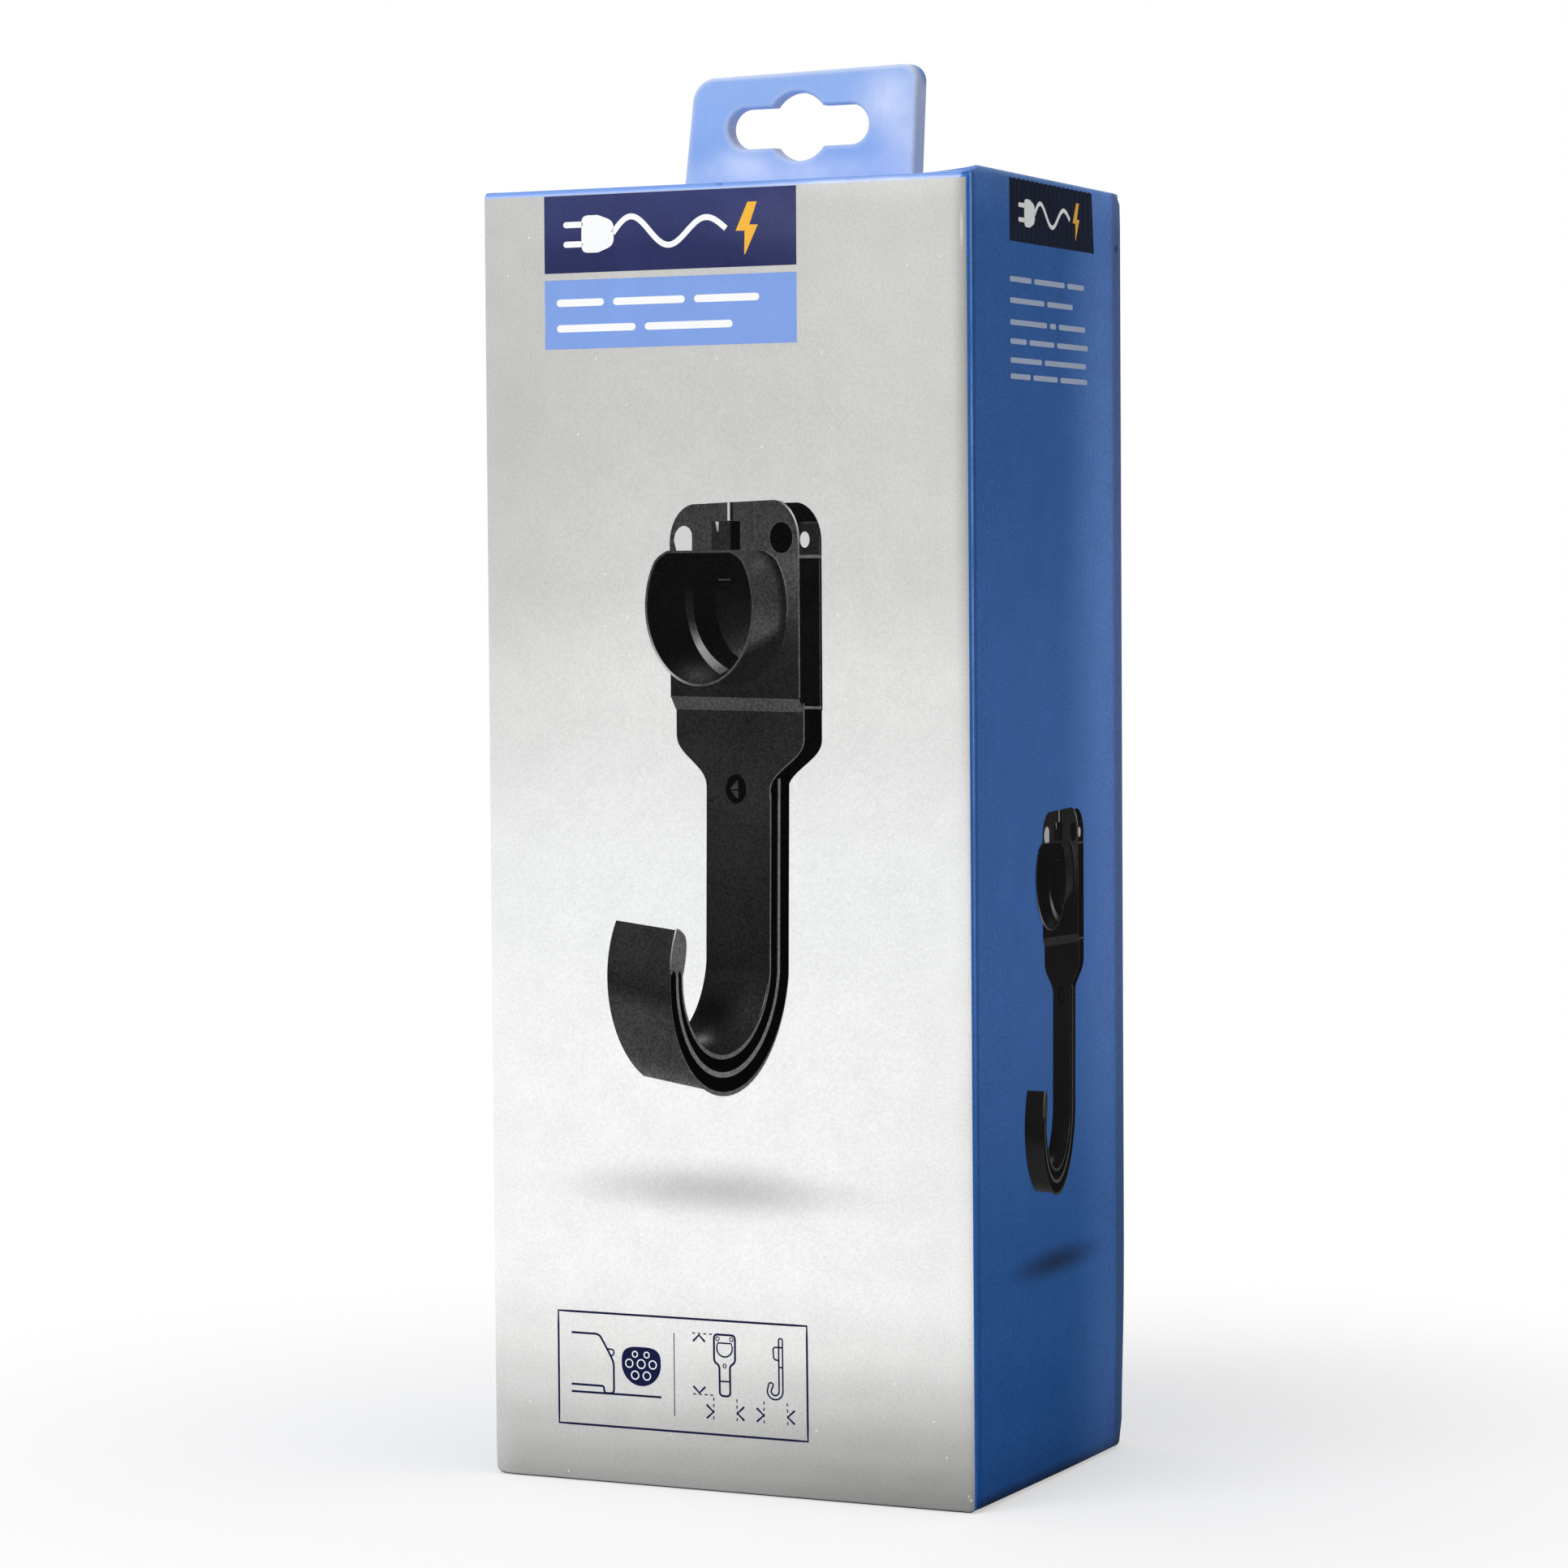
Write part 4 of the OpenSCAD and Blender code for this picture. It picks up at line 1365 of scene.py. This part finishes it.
def draw_picture(name, panel, scale, shift, shade_deepening=0.0):
    """Lays the picture on a panel, layer over layer. A shade_deepening above 0 deepens its dark tones as
    painted shade: tone squared over tone + shade_deepening."""
    patches = []
    for level, drawn in enumerate(picture_layers(), start=1):
        drawn = [patch._replace(tone=patch.tone ** 2 / (patch.tone + shade_deepening)) for patch in drawn]
        patches += lay(drawn, panel, level, scale, shift)
    make_piece(name, patches, charcoal_ink, layer)


draw_picture("front_picture", on_front, 1.0, (0, 0))
# Painted shade: the side's copy of the picture is darkened in its dark tones
draw_picture("side_picture", on_right_side, 0.66, (2.0, 5.3), 0.075)

# %% [markdown]
# ## Pictograms
# A framed row of line drawings at the foot tells what the pack is for: the tail of a car beside a round
# connector face, and the holder from the front and from the side between measuring arrows. They could be
# filled areas, but line drawings are strokes of even width, so each takes only a path.

# %% Framed pictograms
line_w = 0.46
thin_w = 0.34
dash_w = 0.26
ring_w = 0.22
frame_box = [(-41.2, 12.4), (18.7, 12.5), (18.6, 37.2), (-41.2, 37.0)]
car_back = rounded([
    (-38, 32.4), (-31.2, 32.4), (-29.0, 28.8), (-27.7, 26.4), (-27.7, 19.7), (-29.0, 19.6),
], 1.0)
sill = rounded([(-38.1, 21.1), (-30.2, 21.1), (-30.0, 19.6), (-29.0, 19.6)], 0.5)
ground = [(-38.1, 19.5), (-16.2, 19.6)]
lamp = rounded([(-29.1, 29.3), (-27.6, 29.2), (-27.7, 28.0), (-28.5, 27.8)], 0.6)


def chevron(point, arm, facing_deg, spread_deg=42):
    """Two arms that open away from a point."""
    arms = [math.radians(facing_deg + 180 + spread) for spread in (-spread_deg, spread_deg)]
    ends = [np.array(point) + arm * np.array([math.cos(a), math.sin(a)]) for a in arms]
    return stroke([ends[0], point, ends[1]], line_w)


def dashes(start, end, count):
    """Short strokes spaced evenly from start to end, each half as long as its step."""
    ends = np.linspace(start, end, 2 * count)
    return [stroke(ends[2 * i:2 * i + 2], dash_w) for i in range(count)]


holder_front = rounded([
    (-2.1, 20.9), (0.4, 20.9), (0.35, 27.5), (1.6, 28.2),
    (1.6, 34.1), (-3.4, 34.1), (-3.4, 28.1), (-2.15, 27.5),
], 0.9, closed=True)
socket_front = np.vstack([
    [(-2.75, 31.4), (-2.5, 32.3), (0.7, 32.3), (0.95, 31.4)],
    arc((-0.9, 31.2), 1.85, -10, -170, 20),
])
hook_side = np.vstack([
    arc((12.4, 33.7), 0.45, 180, 0, 8),
    arc((11.05, 22.8), 1.85, 0, -180, 20),
    arc((10.05, 24.0), 0.55, 150, -20, 8),
    arc((11.05, 22.8), 0.95, 180, 360, 16),
])
box_side = rounded([(11.95, 32.2), (10.65, 32.2), (10.75, 29.6), (11.95, 29.4)], 0.6)
screw_holes = [((-2.55, 33.2), (0.42, 0.42)), ((0.75, 33.2), (0.42, 0.42)), ((-0.9, 27.4), (0.36, 0.42))]
arrow_tips = [((-3.65, 17.3), 0), ((2.05, 17.4), 180), ((8.3, 17.4), 0), ((14.0, 17.4), 180)]
dash_runs = [
    ((-8.6, 34.05), (-3.9, 34.05)), ((-8.5, 20.9), (-3.7, 20.9)), ((-3.55, 20.4), (-3.6, 15.7)),
    ((1.95, 20.4), (2.0, 15.7)), ((8.4, 20.4), (8.4, 15.7)), ((13.9, 20.4), (14.0, 15.7)),
]
lines = [
    stroke(frame_box, line_w, True), stroke(car_back, line_w), stroke(sill, line_w), stroke(ground, line_w),
    stroke(lamp, thin_w), stroke([(-13.0, 15.8), (-13.0, 33.8)], 0.2),
    stroke(holder_front, line_w, True), stroke(socket_front, thin_w, True),
    stroke([(-2.1, 24.05), (0.4, 24.05)], thin_w), stroke(hook_side, thin_w, True), stroke(box_side, thin_w),
    stroke([(11.95, 27.95), (12.85, 27.95)], thin_w), stroke([(11.95, 32.2), (12.85, 32.2)], thin_w),
    *[ring(middle, half_axes, ring_w, samples=16) for middle, half_axes in screw_holes],
    chevron((-7.0, 33.7), 2.0, 90, 46), chevron((-7.0, 21.2), 2.0, -90, 46),
    *[chevron(point, 2.2, facing_deg) for point, facing_deg in arrow_tips],
    *[dash for start, end in dash_runs for dash in dashes(start, end, 4)],
]

# %% Connector face
face_middle = (-21, 26.5)
face_angle = np.radians(np.linspace(-88, 84, 44))
squarer = np.where(face_angle > 0, 0.62, 1.0)
face_half_h = np.where(face_angle > 0, 3.7, 4.8)
face_rise = np.sign(face_angle) * np.abs(np.sin(face_angle)) ** squarer * face_half_h
face_half = np.column_stack([4.75 * np.cos(face_angle) ** squarer, face_rise])
lines.append(area(face_middle + face_half * (-1, 1), face_middle + face_half, 6))
make_piece("pictograms", lay(lines, on_front), line_ink, film)

pins = [
    (-22.5, 28.55, 0.62), (-19.65, 28.55, 0.62), (-23.9, 26.5, 0.88), (-21.0, 26.5, 0.95),
    (-18.2, 26.5, 0.88), (-22.5, 24.0, 0.88), (-19.65, 24.0, 0.88),
]
pin_w = 0.26
pin_rings = [ring((x, z), (r, r), pin_w, samples=24) for x, z, r in pins]
make_piece("connector_pins", lay(pin_rings, on_front, 2), pale_ink, film)
